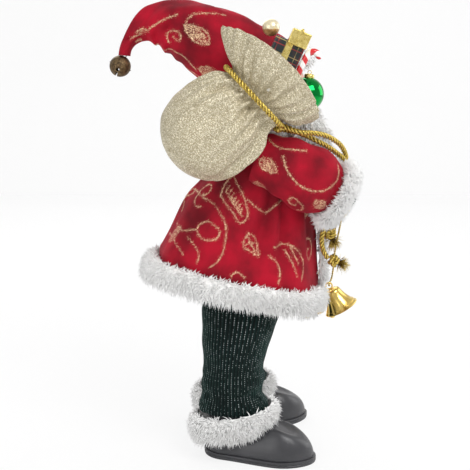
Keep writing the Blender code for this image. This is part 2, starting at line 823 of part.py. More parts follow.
def make_head(body):
    """The moulded head with its nose and round cheeks, plugged over the neck."""
    radii = (HEAD_WIDTH, HEAD_DEPTH, HEAD_HEIGHT)
    head = ellipsoid("head", (0, HEAD_Y, HEAD_Z), radii, SKIN, HEAD_ROUND, HEAD_ROWS)
    front = HEAD_Y - HEAD_DEPTH
    join(head, ellipsoid("nose", (0, front - 0.0012, HEAD_Z - 0.006),
                         (NOSE_RADIUS * 0.9, NOSE_RADIUS, NOSE_RADIUS), None, 8, 6))
    for name, side in SIDES:
        cheek = (side * 0.0135, front + 0.0085, HEAD_Z - 0.009)
        join(head, ellipsoid(name + "_cheek", cheek, (0.0085, 0.0065, 0.0075), None, 8, 6))
    cut(head, grown(body, "neck_space", GAP * 1.2))
    return head


def make_beard(head, chest_space):
    """The full beard, in heavy waves, from the cheeks down over the chest."""
    parts = [
        Section(0, -0.054, 0.354, 0.0080, BEARD_WIDTH * 0.78, 0),
        Section(0, -0.058, 0.348, BEARD_DEPTH * 0.60, BEARD_WIDTH * 0.96, 0),
        Section(0, -0.063, 0.335, BEARD_DEPTH * 0.90, BEARD_WIDTH, 0),
        Section(0, -0.0655, 0.322, BEARD_DEPTH * 0.98, BEARD_WIDTH * 0.92, 0),
        Section(0, -0.072, 0.322 - BEARD_LENGTH * 0.50, BEARD_DEPTH * 0.72, BEARD_WIDTH * 0.66, 0),
        Section(0, -0.080, 0.322 - BEARD_LENGTH * 0.85, BEARD_DEPTH * 0.25, BEARD_WIDTH * 0.22, 0),
    ]
    rows = 6
    rings = [[oval_point(section_at(parts, row / rows), a, 0.0013 * math.sin(5 * a + 8.3 * row / rows))
              for a in turns(16)] for row in range(rows + 1)]
    beard = solid_loft("beard", rings, HAIR_WHITE)
    cut(beard, chest_space)
    cut(beard, grown(head, "beard_head_space", 2 * GAP))
    return beard


def make_moustache(neighbours):
    """Two sweeps of hair from under the nose."""
    rings = []
    steps = 10
    for i in range(steps + 1):
        x = MOUSTACHE_SPAN * (2 * i / steps - 1)
        share = abs(x) / MOUSTACHE_SPAN
        size = MOUSTACHE_RADIUS * (0.62 + 0.75 * share) * math.sqrt(max(0.0, 1 - share**2.6)) + 0.0004
        y = HEAD_Y - HEAD_DEPTH - 0.0062 + 0.009 * share**2
        centre = Vector((x, y, HEAD_Z - 0.0175 - 0.008 * share**1.5))
        rings.append([centre + Vector((0, size * math.cos(a), size * math.sin(a))) for a in turns(8)])
    moustache = solid_loft("moustache", rings, HAIR_WHITE)
    for piece in neighbours:
        cut(moustache, grown(piece, "moustache_" + piece.name + "_space", 3 * GAP))
    return moustache


def make_brow(name, side, head):
    """A short thick eyebrow."""
    turn = Matrix.Rotation(side * math.radians(14), 4, "Y") @ Matrix.Rotation(side * math.radians(22), 4, "Z")
    place = (side * 0.0105, HEAD_Y - HEAD_DEPTH * 0.90, HEAD_Z + 0.0085)
    brow = ellipsoid(name, place, (BROW_LENGTH, 0.0032, 0.0028), HAIR_WHITE, 10, 6, turn)
    cut(brow, grown(head, name + "_space", GAP * 1.2))
    return brow


def make_hair(head_space):
    """The hair round the back and sides of the head, under the cap."""
    full = HAIR_THICKNESS
    parts = [
        Section(0, -0.036, HEAD_Z - 0.026, HEAD_DEPTH * 0.82, HEAD_WIDTH * 0.86, 0),
        Section(0, -0.036, HEAD_Z - 0.020, HEAD_DEPTH + full * 0.6, HEAD_WIDTH + full * 0.6, 0),
        Section(0, -0.036, HEAD_Z - 0.008, HEAD_DEPTH + full, HEAD_WIDTH + full, 0),
        Section(0, -0.036, HEAD_Z + 0.006, HEAD_DEPTH + full, HEAD_WIDTH + full, 0),
        Section(0, -0.038, HEAD_Z + 0.030, HEAD_DEPTH + full, HEAD_WIDTH + full, 0),
    ]
    rows = 5
    rings = [[oval_point(section_at(parts, row / rows), a, 0.0010 * math.sin(7 * a + row)) for a in turns(20)]
             for row in range(rows + 1)]
    hair = solid_loft("hair", rings, HAIR_WHITE)
    face = Matrix.Translation((0, HAIR_FRONT - 0.05, HEAD_Z)) @ Matrix.Diagonal((0.14, 0.10, 0.14, 1.0))
    cut(hair, box_cutter("face_opening", face))
    base = cap_sections()[0]
    up = Vector((0, math.sin(BRIM_TILT), math.cos(BRIM_TILT)))
    under_brim = Vector((0, base.y, base.z)) + up * (0.05 - BRIM_DROP - 3 * GAP)
    lid = (Matrix.Translation(under_brim) @ Matrix.Rotation(-BRIM_TILT, 4, "X")
           @ Matrix.Diagonal((0.14, 0.16, 0.10, 1.0)))
    cut(hair, box_cutter("brim_opening", lid))
    cut(hair, head_space)
    return hair


# Cap


def cap_sections():
    """The cap's cross sections, from the brim, over the back, to the drooping point."""
    rows = (
        (-0.0365, 0.3715, 0.0405, 0.0375, 35), (-0.0210, 0.3875, 0.0405, 0.0380, 43),
        (0.0007, 0.3985, 0.0390, 0.0370, 52), (0.0228, 0.4123, 0.0367, 0.0340, 61),
        (0.0447, 0.4219, 0.0306, 0.0290, 73), (0.0638, 0.4260, 0.0262, 0.0230, 86),
        (0.0809, 0.4270, 0.0195, 0.0165, 103), (0.0940, 0.4225, 0.0115, 0.0115, 128),
        (0.1025, 0.4150, 0.0076, 0.0090, 146), (0.1073, 0.4070, 0.0062, 0.0076, 163),
        (0.1090, 0.3990, 0.0060, 0.0068, 175),
    )
    depth = BRIM_DEPTH / rows[0][2]
    width = BRIM_WIDTH / rows[0][3]
    return [Section(0, y, z, d * depth, w * width, -math.radians(lean)) for y, z, d, w, lean in rows]


def cap_point(t, angle, out=0.0):
    """A point on the cap's outside: t is 0 at the brim and 1 at the point; below 0 it runs straight."""
    section = section_at(cap_sections(), max(t, 0.0))
    crease = 0.0017 * math.sin((t - 0.40) * 62) * math.exp(-((t - 0.54) / 0.11) ** 2)
    soft = 0.0010 * math.sin(5 * angle + 14 * t) * math.sin(math.pi * max(t, 0.0))
    point = oval_point(section, angle, out + crease * (0.7 - 0.6 * math.cos(angle)) + soft)
    up = Vector((0, math.sin(BRIM_TILT), math.cos(BRIM_TILT)))
    return point + up * min(t, 0.0) * CAP_LENGTH


def make_cap(head_space):
    """The long stuffed cap, with the creases where it folds over."""
    rows = CAP_ROWS
    rings = [[cap_point(row / rows, angle) for angle in turns(CAP_ROUND)] for row in range(rows + 1)]
    cap = solid_loft("cap", rings, COAT_RED)
    cut(cap, head_space)
    return cap


def make_brim():
    """The cap's fur band."""
    low = -BRIM_DROP / CAP_LENGTH
    return surface_band("cap_brim", cap_point, low, BRIM_RISE / CAP_LENGTH, BRIM_PILE, FUR_WHITE,
                        turns(CAP_ROUND), 4 * GAP)


def cap_bell_centre():
    """The round bell's middle, hanging from the cap's point."""
    tip = cap_sections()[-1]
    away = Vector((0, 0.40, -0.915)).normalized()
    return Vector((tip.x, tip.y, tip.z)) + away * (CAP_BELL_RADIUS + GAP * 2), away


def make_cap_bell():
    """The round bell: a hollow ball with crossed slots below."""
    centre, away = cap_bell_centre()
    bell = ellipsoid("cap_bell", centre, [CAP_BELL_RADIUS] * 3, OLD_BRASS, 12, 7)
    inner = CAP_BELL_RADIUS - CAP_BELL_WALL
    cut(bell, as_cutter(ellipsoid("cap_bell_inside", centre, [inner] * 3, None, 10, 6)))
    facing = Matrix.Translation(centre) @ away.to_track_quat("Z", "Y").to_matrix().to_4x4()
    for name, wide, long in (("slot_one", CAP_BELL_SLOT, 2 * CAP_BELL_RADIUS * 0.86),
                             ("slot_two", 2 * CAP_BELL_RADIUS * 0.86, CAP_BELL_SLOT)):
        bm = bmesh.new()
        bmesh.ops.create_cube(bm, size=1.0)
        depth = CAP_BELL_RADIUS
        shape = (facing @ Matrix.Translation((0, 0, depth * 0.5 + CAP_BELL_RADIUS * 0.28))
                 @ Matrix.Diagonal((wide, long, depth, 1.0)))
        bmesh.ops.transform(bm, matrix=shape, verts=bm.verts)
        cut(bell, as_cutter(add_object(name, bm, None)))
    return bell


def make_pellet():
    """The loose ball that rings inside the round bell."""
    centre, away = cap_bell_centre()
    low = CAP_BELL_RADIUS - CAP_BELL_WALL - PELLET_RADIUS - GAP
    place = centre + Vector((0.35, 0.0, -0.937)) * low
    return ellipsoid("cap_bell_pellet", place, [PELLET_RADIUS] * 3, OLD_BRASS, 8, 6)


# Sack

SACK_END = Vector((SACK_X, 0.0620, 0.3060))
SACK_NECK = Vector((SACK_X - 0.0055, -0.0173, 0.3609))
MOUTH_MIDDLE = Vector((SACK_X - 0.012, -0.0322, 0.3837))
BODY_TILT = math.radians(56.6)
NECK_TILT = math.radians(48.3)
MOUTH_TILT = math.radians(42.2)


def sack_ring(section, gather=0.0, rise=0.0, wall=0.0, tuck=0.0):
    """A ring of the sack: gathers ripple it, rise lifts its outer side, and a tuck dents it."""
    up = Vector((0, -math.sin(section.tilt), math.cos(section.tilt)))
    ring = []
    for angle in turns(SACK_ROUND):
        ripple = GATHER_DEPTH * gather * (math.sin(GATHER_COUNT * angle) + 0.4 * math.sin(6 * angle + 1))
        dent = tuck * math.exp(-((angle - 0.62) / 0.13) ** 2)
        point = oval_point(section, angle, ripple - dent - wall)
        ring.append(point + up * rise * max(0.0, -math.sin(angle)) ** 1.5)
    return ring


def mouth_section(share):
    """The open end's section: share is 0 at the tied neck and 1 at the rim."""
    place = SACK_NECK.lerp(MOUTH_MIDDLE, share)
    opening = max(share - NECK_SHARE, 0.0) / (1 - NECK_SHARE)
    flare = math.sin(opening * math.pi / 2) ** 0.9
    depth = NECK_HALF_HEIGHT + (MOUTH_HALF_HEIGHT - NECK_HALF_HEIGHT) * flare
    width = NECK_HALF_SIDE + (MOUTH_HALF_SIDE - NECK_HALF_SIDE) * flare
    tilt = NECK_TILT + (MOUTH_TILT - NECK_TILT) * share
    return Section(*place, depth, width, tilt)


def make_sack(neighbours):
    """The stuffed sack, tied at the neck, its open end flaring into a cup."""
    swell = ((0.02, 0.30, 0.0), (0.09, 0.60, 0.0), (0.20, 0.84, 0.0), (0.36, 0.975, 0.0), (0.54, 1.0, 0.15),
             (0.72, 0.94, 0.55), (0.85, 0.82, 0.70), (0.93, 0.665, 0.15))
    rings = []
    for along, size, gather in swell:
        centre = SACK_END.lerp(SACK_NECK, along)
        sag = Vector((0, 0, -0.0025 * math.sin(math.pi * along)))
        section = Section(*(centre + sag), SACK_BODY * size, SACK_SIDE * min(1.0, size * 1.02), BODY_TILT)
        rings.append(sack_ring(section, gather, tuck=0.005 * math.sin(math.pi * along)))
    for share, gather in ((0.02, 0.1), (0.16, 0.2), (0.30, 0.9), (0.50, 0.8), (0.74, 0.6), (1.0, 0.45)):
        rings.append(sack_ring(mouth_section(share), gather, MOUTH_SIDE_RISE * share**1.3))
    for share, gather in ((1.0, 0.45), (0.74, 0.6), (0.50, 0.8), (0.30, 0.9)):
        rings.append(sack_ring(mouth_section(share), gather, MOUTH_SIDE_RISE * share**1.3, SACK_WALL))
    sack = add_object("sack", loft(rings, SACK_END, middle(rings[-1])), SACK_GOLD)
    for piece in neighbours:
        if piece.hide_render:
            cut(sack, piece)
        else:
            cut(sack, grown(piece, "sack_" + piece.name + "_space", GAP * 1.5))
    return sack


def make_filling(gifts):
    """The wadding in the sack's mouth that the gifts sit in."""
    rings = []
    for share, gather in ((0.34, 0.88), (0.50, 0.8), (0.68, 0.65)):
        rise = MOUTH_SIDE_RISE * share**1.3
        rings.append(sack_ring(mouth_section(share), gather, rise, SACK_WALL + 6 * GAP))
    filling = solid_loft("sack_filling", rings, STUFFING)
    for gift in gifts:
        cut(filling, grown(gift, "filling_" + gift.name + "_space", GAP * 1.2))
    return filling


# Gifts

GIFT_LEAN = math.radians(23.5)
GIFT_UP = Vector((0, -math.sin(GIFT_LEAN), math.cos(GIFT_LEAN)))
GIFT_ALONG = Vector((0, -math.cos(GIFT_LEAN), -math.sin(GIFT_LEAN)))
GREEN_BOX_TOP = Vector((SACK_X - 0.010, -0.0500, 0.4110))


def box_matrix(centre, size):
    """Place a unit cube as a leaning box."""
    turn = Matrix((Vector((1, 0, 0)), -GIFT_ALONG, GIFT_UP)).transposed().to_4x4()
    return Matrix.Translation(centre) @ turn @ Matrix.Diagonal((*size, 1.0))


def make_box(name, centre, size, look):
    """A wrapped box with soft edges."""
    bm = bmesh.new()
    bmesh.ops.create_cube(bm, size=1.0)
    bmesh.ops.transform(bm, matrix=box_matrix(centre, size), verts=bm.verts)
    bmesh.ops.bevel(bm, geom=bm.edges, offset=0.0008, segments=1, affect="EDGES", profile=0.5)
    return add_object(name, bm, look)


def make_ribbon(name, centre, size, look):
    """A ribbon band round a box: a frame that the box fills."""
    width, along, high = size
    outer_size = (width + 2 * RIBBON_THICKNESS + 2 * GAP, RIBBON_WIDTH, high + 2 * RIBBON_THICKNESS + 2 * GAP)
    bm = bmesh.new()
    bmesh.ops.create_cube(bm, size=1.0)
    bmesh.ops.transform(bm, matrix=box_matrix(centre, outer_size), verts=bm.verts)
    ribbon = add_object(name, bm, look)
    bm = bmesh.new()
    bmesh.ops.create_cube(bm, size=1.0)
    hole = (width + 2 * GAP, RIBBON_WIDTH * 2, high + 2 * GAP)
    bmesh.ops.transform(bm, matrix=box_matrix(centre, hole), verts=bm.verts)
    cut(ribbon, as_cutter(add_object(name + "_space", bm, None)))
    return ribbon


def make_gifts():
    """The boxes, ball, sweet and bauble in the sack's mouth."""
    green_centre = GREEN_BOX_TOP - GIFT_UP * GREEN_BOX_SIZE[2] / 2
    green = make_box("green_gift", green_centre, GREEN_BOX_SIZE, BOX_GREEN)
    ribbon = make_ribbon("green_gift_ribbon", green_centre, GREEN_BOX_SIZE, FOIL_GOLD)

    near_face = green_centre.x - GREEN_BOX_SIZE[0] / 2 - RIBBON_THICKNESS - 3 * GAP
    gold_centre = Vector((near_face - GOLD_BOX_SIZE[0] / 2, -0.0565, 0.4125))
    gold = make_box("gold_gift", gold_centre, GOLD_BOX_SIZE, FOIL_GOLD)

    corner = GREEN_BOX_TOP - GIFT_ALONG * GREEN_BOX_SIZE[1] / 2
    away = Vector((0, 0.60, 0.80)).normalized()
    ball_centre = corner + away * (GOLD_BALL_RADIUS + GAP)
    ball = ellipsoid("gold_ball", ball_centre, [GOLD_BALL_RADIUS] * 3, PEARL_GOLD, 12, 8)

    bauble_centre = Vector((MOUTH_MIDDLE.x, -0.0655, 0.3640))
    bauble = ellipsoid("green_bauble", bauble_centre, [BAUBLE_RADIUS] * 3, BAUBLE_GREEN, 16, 9)
    cap_axis = Vector(BAUBLE_CAP_AXIS).normalized()
    cap_rings = []
    for height, size in ((0.0, 1.0), (0.0030, 1.0), (0.0036, 0.82), (0.0038, 0.3)):
        place = bauble_centre + cap_axis * (BAUBLE_RADIUS - 0.0004 + height)
        up, across = frame_along(cap_axis, Vector((0, 1, 0)))
        cap_rings.append([place + (up * math.cos(a) + across * math.sin(a)) * BAUBLE_CAP_RADIUS * size
                          for a in turns(12)])
    bauble_cap = solid_loft("bauble_cap", cap_rings, FOIL_GOLD)
    cut(bauble_cap, grown(bauble, "bauble_cap_space", GAP))

    stem_head = Vector((near_face - CANE_RADIUS - GAP, -0.0640, 0.3985))
    stem_foot = Vector((stem_head.x, -0.0480, 0.3672))
    stem = (stem_head - stem_foot).normalized()
    bend = Vector((0, -stem.z, stem.y))
    points = [stem_foot.lerp(stem_head, i / 2) for i in range(3)]
    for i in range(1, 8):
        angle = math.radians(i * 24)
        points.append(stem_head + bend * CANE_HOOK_RADIUS * (1 - math.cos(angle))
                      + stem * CANE_HOOK_RADIUS * math.sin(angle))
    cane = as_mesh(tube("candy_cane", points, 2 * CANE_RADIUS, CANDY_RED, 2))
    return [green, ribbon, gold, ball, bauble, bauble_cap, cane]


# Hand bells

BELLS = (
    ("front", Vector((0.022, -0.0995, 0.1600)), BELL_LEAN),
    ("side", Vector((0.057, -0.0800, 0.1505)), 0.0),
)


def bell_matrix(place, lean):
    """A bell's own frame: its loop's middle at the origin and its mouth towards -Z."""
    return Matrix.Translation(place) @ Matrix.Rotation(-lean, 4, "X")


def bell_radius(share):
    """A bell's outer radius down its height: share is 0 at the shoulder and 1 at the lip."""
    flare = (BELL_MOUTH_RADIUS - BELL_WAIST_RADIUS) * share**2.2
    return BELL_WAIST_RADIUS + flare + BELL_BELLY * math.sin(share * 3)


def staple_height():
    """Where a clapper hangs, under the bell's crown."""
    return -LOOP_RADIUS - LOOP_WIRE * 0.5 - BELL_WALL - 0.0036


def make_bell(name, place, lean):
    """A hand bell with its hanging loop and the staple that its clapper hangs from."""
    matrix = bell_matrix(place, lean)
    top = -LOOP_RADIUS - LOOP_WIRE * 0.5
    bottom = top - BELL_HEIGHT + LOOP_RADIUS
    shoulder = top - 0.0035
    outer = [(0.0, top), (BELL_WAIST_RADIUS * 0.45, top - 0.0003), (BELL_WAIST_RADIUS * 0.85, top - 0.0014)]
    steps = 4
    outer += [(bell_radius(i / steps), shoulder + (bottom - shoulder) * i / steps) for i in range(steps + 1)]
    inner = [(radius - BELL_WALL, height) for radius, height in reversed(outer[3:])]
    inner += [(BELL_WAIST_RADIUS * 0.85 - BELL_WALL, top - 0.0014 - BELL_WALL), (0.0, top - BELL_WALL)]
    bell = turned(name + "_bell", outer + inner, matrix, BRASS)
    loop_name = name + "_bell_loop"
    loop_shape = ring_object(loop_name, Vector((0, 0, 0)), LOOP_RADIUS, LOOP_WIRE, Vector((1, 0, 0)), None,
                             matrix)
    join(bell, loop_shape)
    staple = staple_height()
    half = 0.0026
    high = top - BELL_WALL * 0.5
    route = [(-half, 0, high), (-half, 0, staple + 0.0008), (-half + 0.0008, 0, staple),
             (half - 0.0008, 0, staple), (half, 0, staple + 0.0008), (half, 0, high)]
    wire = tube(name + "_bell_staple", [matrix @ Vector(p) for p in route], 0.0012, None, 2)
    join(bell, as_mesh(wire))
    return bell


def make_bell_space(name, place, lean):
    """The room that a hanging bell presses out of the fur."""
    room = 4 * GAP
    top = -LOOP_RADIUS - LOOP_WIRE * 0.5
    bottom = top - BELL_HEIGHT + LOOP_RADIUS
    steps = 6
    profile = [(0.0, LOOP_RADIUS + 2 * LOOP_WIRE), (LOOP_RADIUS * 0.9, LOOP_RADIUS + 2 * LOOP_WIRE)]
    profile += [(bell_radius(i / steps) + room, top + (bottom - top) * i / steps) for i in range(steps + 1)]
    profile.append((0.0, bottom))
    return as_cutter(turned(name + "_bell_space", profile, bell_matrix(place, lean), None, 14))


def make_clapper(name, place, lean):
    """A clapper: an eye round the staple, a wire and a ball, hanging plumb."""
    pivot = bell_matrix(place, lean) @ Vector((0, 0, staple_height()))
    matrix = Matrix.Translation(pivot)
    eye_radius = 0.0018
    eye_wire = 0.0006
    clapper_name = name + "_clapper"
    ball_height = -CLAPPER_LENGTH
    profile = [(0.0, -eye_radius - eye_wire * 0.4), (CLAPPER_WIRE, -eye_radius - eye_wire * 0.4),
               (CLAPPER_WIRE, ball_height + CLAPPER_BALL * 0.97)]
    for i in range(1, 7):
        angle = math.pi * i / 6
        if CLAPPER_BALL * math.sin(angle) > CLAPPER_WIRE or angle > math.pi / 2:
            profile.append((CLAPPER_BALL * math.sin(angle), ball_height + CLAPPER_BALL * math.cos(angle)))
    profile[-1] = (0.0, ball_height - CLAPPER_BALL)
    clapper = turned(clapper_name, profile, matrix, BRASS, 6)
    eye_name = clapper_name + "_eye"
    eye = ring_object(eye_name, Vector(), eye_radius, eye_wire, Vector((1, 0, 0)), None, matrix)
    join(clapper, eye)
    return clapper


# Cords


def neck_wrap(turn_count, start_angle, points_per_turn=14):
    """The cord's turns round the sack's neck."""
    reach = CORD_DIAMETER / 2 + NECK_EASE
    up = Vector((0, -math.sin(NECK_TILT), math.cos(NECK_TILT)))
    count = int(turn_count * points_per_turn)
    section = mouth_section(0.0)
    points = []
    for i in range(count + 1):
        share = i / count - 0.5
        angle = start_angle + 2 * math.pi * turn_count * i / count
        lift = share * (CORD_DIAMETER + 2 * GAP) * turn_count + NECK_SET_ON
        points.append(oval_point(section, angle, reach) + up * lift)
    return points


def sack_cord_route():
    """The gold cord: a tail, the hand, up to the sack, round its neck, back to the hand, a tail."""
    first_tail = [(-0.0300, -0.0925, 0.2010), (-0.0300, -0.0880, 0.2080), (-0.0300, -0.0858, 0.2180),
                  (-0.0285, -0.0875, 0.2290), (-0.0235, -0.0965, 0.2390), (-0.0180, -0.1045, 0.2460),
                  (-0.0160, -0.1070, 0.2520)]
    up_strand = [(-0.0160, -0.1070, 0.2760), (-0.0170, -0.1085, 0.2870), (-0.0230, -0.1090, 0.3000),
                 (-0.0340, -0.1040, 0.3110), (-0.0450, -0.0955, 0.3190), (-0.0540, -0.0840, 0.3250),
                 (-0.0620, -0.0720, 0.3275), (-0.0700, -0.0600, 0.3290)]
    wrap = neck_wrap(1.0, 0.10)
    down_strand = [(-0.0520, -0.0440, 0.3300), (-0.0480, -0.0560, 0.3280), (-0.0500, -0.0680, 0.3240),
                   (-0.0510, -0.0780, 0.3190), (-0.0450, -0.0890, 0.3130), (-0.0350, -0.1000, 0.3050),
                   (-0.0240, -0.1100, 0.2960), (-0.0170, -0.1140, 0.2860), (-0.0160, -0.1132, 0.2760)]
    second_tail = [(-0.0160, -0.1132, 0.2520), (-0.0175, -0.1085, 0.2430), (-0.0200, -0.0985, 0.2360),
                   (-0.0210, -0.0930, 0.2300)]
    return [Vector(p) for p in first_tail + up_strand + wrap[::-1] + down_strand + second_tail]


def make_cord_end(name, start, direction):
    """A knot with its frayed end."""
    direction = Vector(direction).normalized()
    up, across = frame_along(direction, Vector((1, 0, 0)))
    outline = ((0.0003, 0.0030), (0.0020, 0.0062), (0.0050, 0.0078), (0.0085, 0.0070), (0.0110, 0.0036),
               (0.0130, 0.0034), (0.0160, 0.0046), (0.0205, 0.0060), (0.0215, 0.0052))
    rings = []
    for along, size in outline:
        ripple = [1 + 0.10 * math.sin(5 * a + along * 400) for a in turns(10)]
        rings.append([Vector(start) + direction * along + (up * math.cos(a) + across * math.sin(a)) * size * r
                      for a, r in zip(turns(10), ripple)])
    return solid_loft(name, rings, CORD_GOLD)


def bell_cord_route():
    """The thin cord: up from one bell, doubled through the left hand, and down to the other."""
    front, side = (place + Vector((0, 0, LOOP_RADIUS - LOOP_WIRE - BELL_CORD_DIAMETER / 2 - GAP))
                   for _, place, _ in BELLS)
    fist = fist_centre(1)
    low = fist.z - FIST_RADIUS
    high = fist.z + FIST_RADIUS
    near = fist.y - BELL_STRAND_SPACING / 2
    far = fist.y + BELL_STRAND_SPACING / 2
    return [front + Vector((-0.0035, 0, 0)), front, front + Vector((0.0035, -0.0006, 0.0004)),
            front + Vector((0.0070, -0.0034, 0.0055)), front + Vector((0.0075, -0.0050, 0.0160)),
            Vector((0.0265, -0.1060, 0.2000)), Vector((0.0215, -0.1095, 0.2230)),
            Vector((fist.x, near, low - 0.008)), Vector((fist.x, near, low)), Vector((fist.x, near, fist.z)),
            Vector((fist.x, near, high)), Vector((fist.x, near, high + 0.003)),
            Vector((fist.x, fist.y, high + 0.005)),
            Vector((fist.x, far, high + 0.003)), Vector((fist.x, far, high)), Vector((fist.x, far, fist.z)),
            Vector((fist.x, far, low)), Vector((fist.x + 0.001, far, low - 0.008)),
            Vector((0.0270, -0.1060, 0.2230)), Vector((0.0390, -0.1020, 0.2000)),
            Vector((0.0480, -0.0955, 0.1750)), side + Vector((-0.0075, -0.0045, 0.0080)),
            side + Vector((-0.0042, 0, 0.0006)), side, side + Vector((0.0035, 0, 0))]


def make_cords():
    """Both cords, and the knots at the ends of the gold one."""
    route = sack_cord_route()
    tube("sack_cord", route, CORD_DIAMETER, CORD_GOLD, 2)
    make_cord_end("first_cord_end", route[0] + Vector((0, -0.0012, -0.0006)), (0, -0.93, -0.37))
    make_cord_end("second_cord_end", route[-1] + Vector((-0.0006, 0.0010, -0.0030)), (-0.10, -0.35, -0.93))
    tube("bell_cord", smooth_route(bell_cord_route(), 60), BELL_CORD_DIAMETER, CORD_GOLD, 2)


# The whole figure


def make_figure():
    """Build every piece."""
    clear_scene()
    make_collection(PARTS)
    make_collection(CUTTERS)
    figure = bpy.data.objects.new("figure", None)
    bpy.data.collections[PARTS].objects.link(figure)

    make_coat()
    coat_space = make_coat_cutter("coat_space", 2 * GAP)
    hem = make_hem_fur()
    make_front_fur()
    body = make_body()
    for name, side in SIDES:
        make_leg(name + "_trouser_leg", side)
        boot = make_boot(name + "_boot", side)
        make_boot_cuff(name + "_boot_cuff", side, boot)
    sleeves = make_arms(coat_space)

    head = make_head(body)
    head_space = make_head_space()
    make_collar(head_space)
    beard = make_beard(head, make_coat_cutter("chest_space", FRONT_FUR_THICKNESS + 4 * GAP))
    make_moustache([head, beard])
    for name, side in SIDES:
        make_brow(name + "_eyebrow", side, head)
    make_hair(head_space)
    make_cap(head_space)
    make_brim()
    make_cap_bell()
    make_pellet()

    make_sack([coat_space, sleeves["right"]])
    make_filling(make_gifts())
    for name, place, lean in BELLS:
        make_bell(name, place, lean)
        cut(hem, make_bell_space(name, place, lean))
        make_clapper(name, place, lean)
    make_cords()

    figure.location = (MIDDLE_X, MIDDLE_Y, 0)


make_figure()
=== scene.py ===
"""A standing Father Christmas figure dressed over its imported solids: cloth, fur, cords, bells and gifts.

Metres, +Z up. The figure faces -Y, and its right-hand side, with the sack, is -X.
"""
from __future__ import annotations

import logging
from dataclasses import dataclass, field
from enum import Enum
from math import cos, degrees, exp, hypot, pi, radians, sin, sqrt
from typing import Callable, Optional, Sequence

import bpy
import numpy as np
from mathutils import Matrix, Vector, kdtree, noise


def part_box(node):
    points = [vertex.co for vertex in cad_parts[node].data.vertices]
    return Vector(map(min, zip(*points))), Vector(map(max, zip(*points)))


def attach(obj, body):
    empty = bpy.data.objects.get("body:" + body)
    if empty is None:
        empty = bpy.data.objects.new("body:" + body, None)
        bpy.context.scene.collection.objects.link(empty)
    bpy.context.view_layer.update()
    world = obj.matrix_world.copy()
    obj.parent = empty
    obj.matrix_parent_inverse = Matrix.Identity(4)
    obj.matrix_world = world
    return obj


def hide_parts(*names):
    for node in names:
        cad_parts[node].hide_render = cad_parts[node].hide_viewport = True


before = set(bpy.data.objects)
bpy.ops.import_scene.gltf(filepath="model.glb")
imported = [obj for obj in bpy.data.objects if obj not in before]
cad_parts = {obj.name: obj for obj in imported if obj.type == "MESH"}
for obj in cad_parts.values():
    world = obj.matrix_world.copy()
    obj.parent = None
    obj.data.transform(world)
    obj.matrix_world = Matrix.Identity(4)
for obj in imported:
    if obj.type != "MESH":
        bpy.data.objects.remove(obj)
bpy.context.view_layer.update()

log = logging.getLogger("figure")

MIDDLE = Vector((0.0066, 0.0025, 0.0))
QUARTER = pi / 2
MERGE = 0.000005            # vertices closer than this are one
FINE_STEPS = 600            # samples of a smooth path before it is evened out
STRAND_OVERLAP = 1.03       # how far a cord's strands press into each other
STRAND_WIDTH = 1.12         # how much a strand is flattened
CLUMP_SCALE = 130.0         # clumps of pile per metre
LEAST_RISE = 0.35           # the least that a hair stands off its skin
ROOT_DEPTH = 0.001          # how deep a hair is rooted
HAIR_TAPER = 0.6
WORN_EDGE = 0.012           # the width over which rubbed pile grows back
INWARD_SEED = 5
FUR_RADIUS = 0.0008
GOLD_STEP = 0.0004          # the spacing of a scroll's points
GOLD_REACH = 0.01           # the furthest distance kept in the gold attribute
SENSOR = 36.0
FOCAL_PIXELS = 895.0
PHOTO_PIXELS = 470.0
Piece = bpy.types.Object
Socket = bpy.types.NodeSocket
Material = bpy.types.Material
Surface = Callable[[float, float], Vector]
HairTest = Callable[[np.ndarray, np.ndarray], np.ndarray]
Colour = tuple[float, float, float]


class Body(str, Enum):
    """The rigid bodies that pieces ride on."""

    FIGURE = "figure"
    FRONT_BELL = "front_bell"
    FRONT_CLAPPER = "front_clapper"
    SIDE_BELL = "side_bell"
    SIDE_CLAPPER = "side_clapper"


class Slot(str, Enum):
    """The record's material slots."""

    WADDING = "wadding"
    VELVET = "red_velvet"
    FUR = "white_fur"
    TROUSERS = "trouser_velvet"
    BOOTS = "boot_plastic"
    MITTENS = "mitten_felt"
    FACE = "face_resin"
    HAIR = "white_hair"
    OLD_BRASS = "antique_brass"
    SACK = "sack_cloth"
    PAPER = "green_paper"
    FOIL = "gold_foil"
    PEARL = "gold_pearl"
    GLASS = "green_glass"
    CANDY = "candy_plastic"
    BRASS = "bright_brass"
    CORD = "gold_cord"


SIDES = (("right", -1), ("left", 1))


# Curves and sections


def smooth_value(values: Sequence[float], t: float) -> float:
    """Read a smooth curve through equally spaced values: t is 0 at the first and 1 at the last."""
    spans = len(values) - 1
    index = min(int(t * spans), spans - 1)
    u = t * spans - index
    before = values[max(index - 1, 0)]
    start = values[index]
    end = values[index + 1]
    after = values[min(index + 2, spans)]
    first = (end - before) / 2
    last = (after - start) / 2
    return (start * (2 * u**3 - 3 * u**2 + 1) + first * (u**3 - 2 * u**2 + u)
            + end * (3 * u**2 - 2 * u**3) + last * (u**3 - u**2))


def smooth_path(points: Sequence[Sequence[float]], count: int) -> list[Vector]:
    """Equally spaced points along a smooth curve that passes some points."""
    fine = [Vector(smooth_value([p[k] for p in points], i / FINE_STEPS) for k in range(3))
            for i in range(FINE_STEPS + 1)]
    runs = np.array([0.0] + [(b - a).length for a, b in zip(fine, fine[1:])]).cumsum()
    wanted = np.linspace(0.0, runs[-1], count)
    table = np.array([list(p) for p in fine])
    return [Vector(np.interp(w, runs, table[:, k]) for k in range(3)) for w in wanted]


def path_length(points: Sequence[Vector]) -> float:
    """The length of a line of points."""
    return sum((b - a).length for a, b in zip(points, points[1:]))


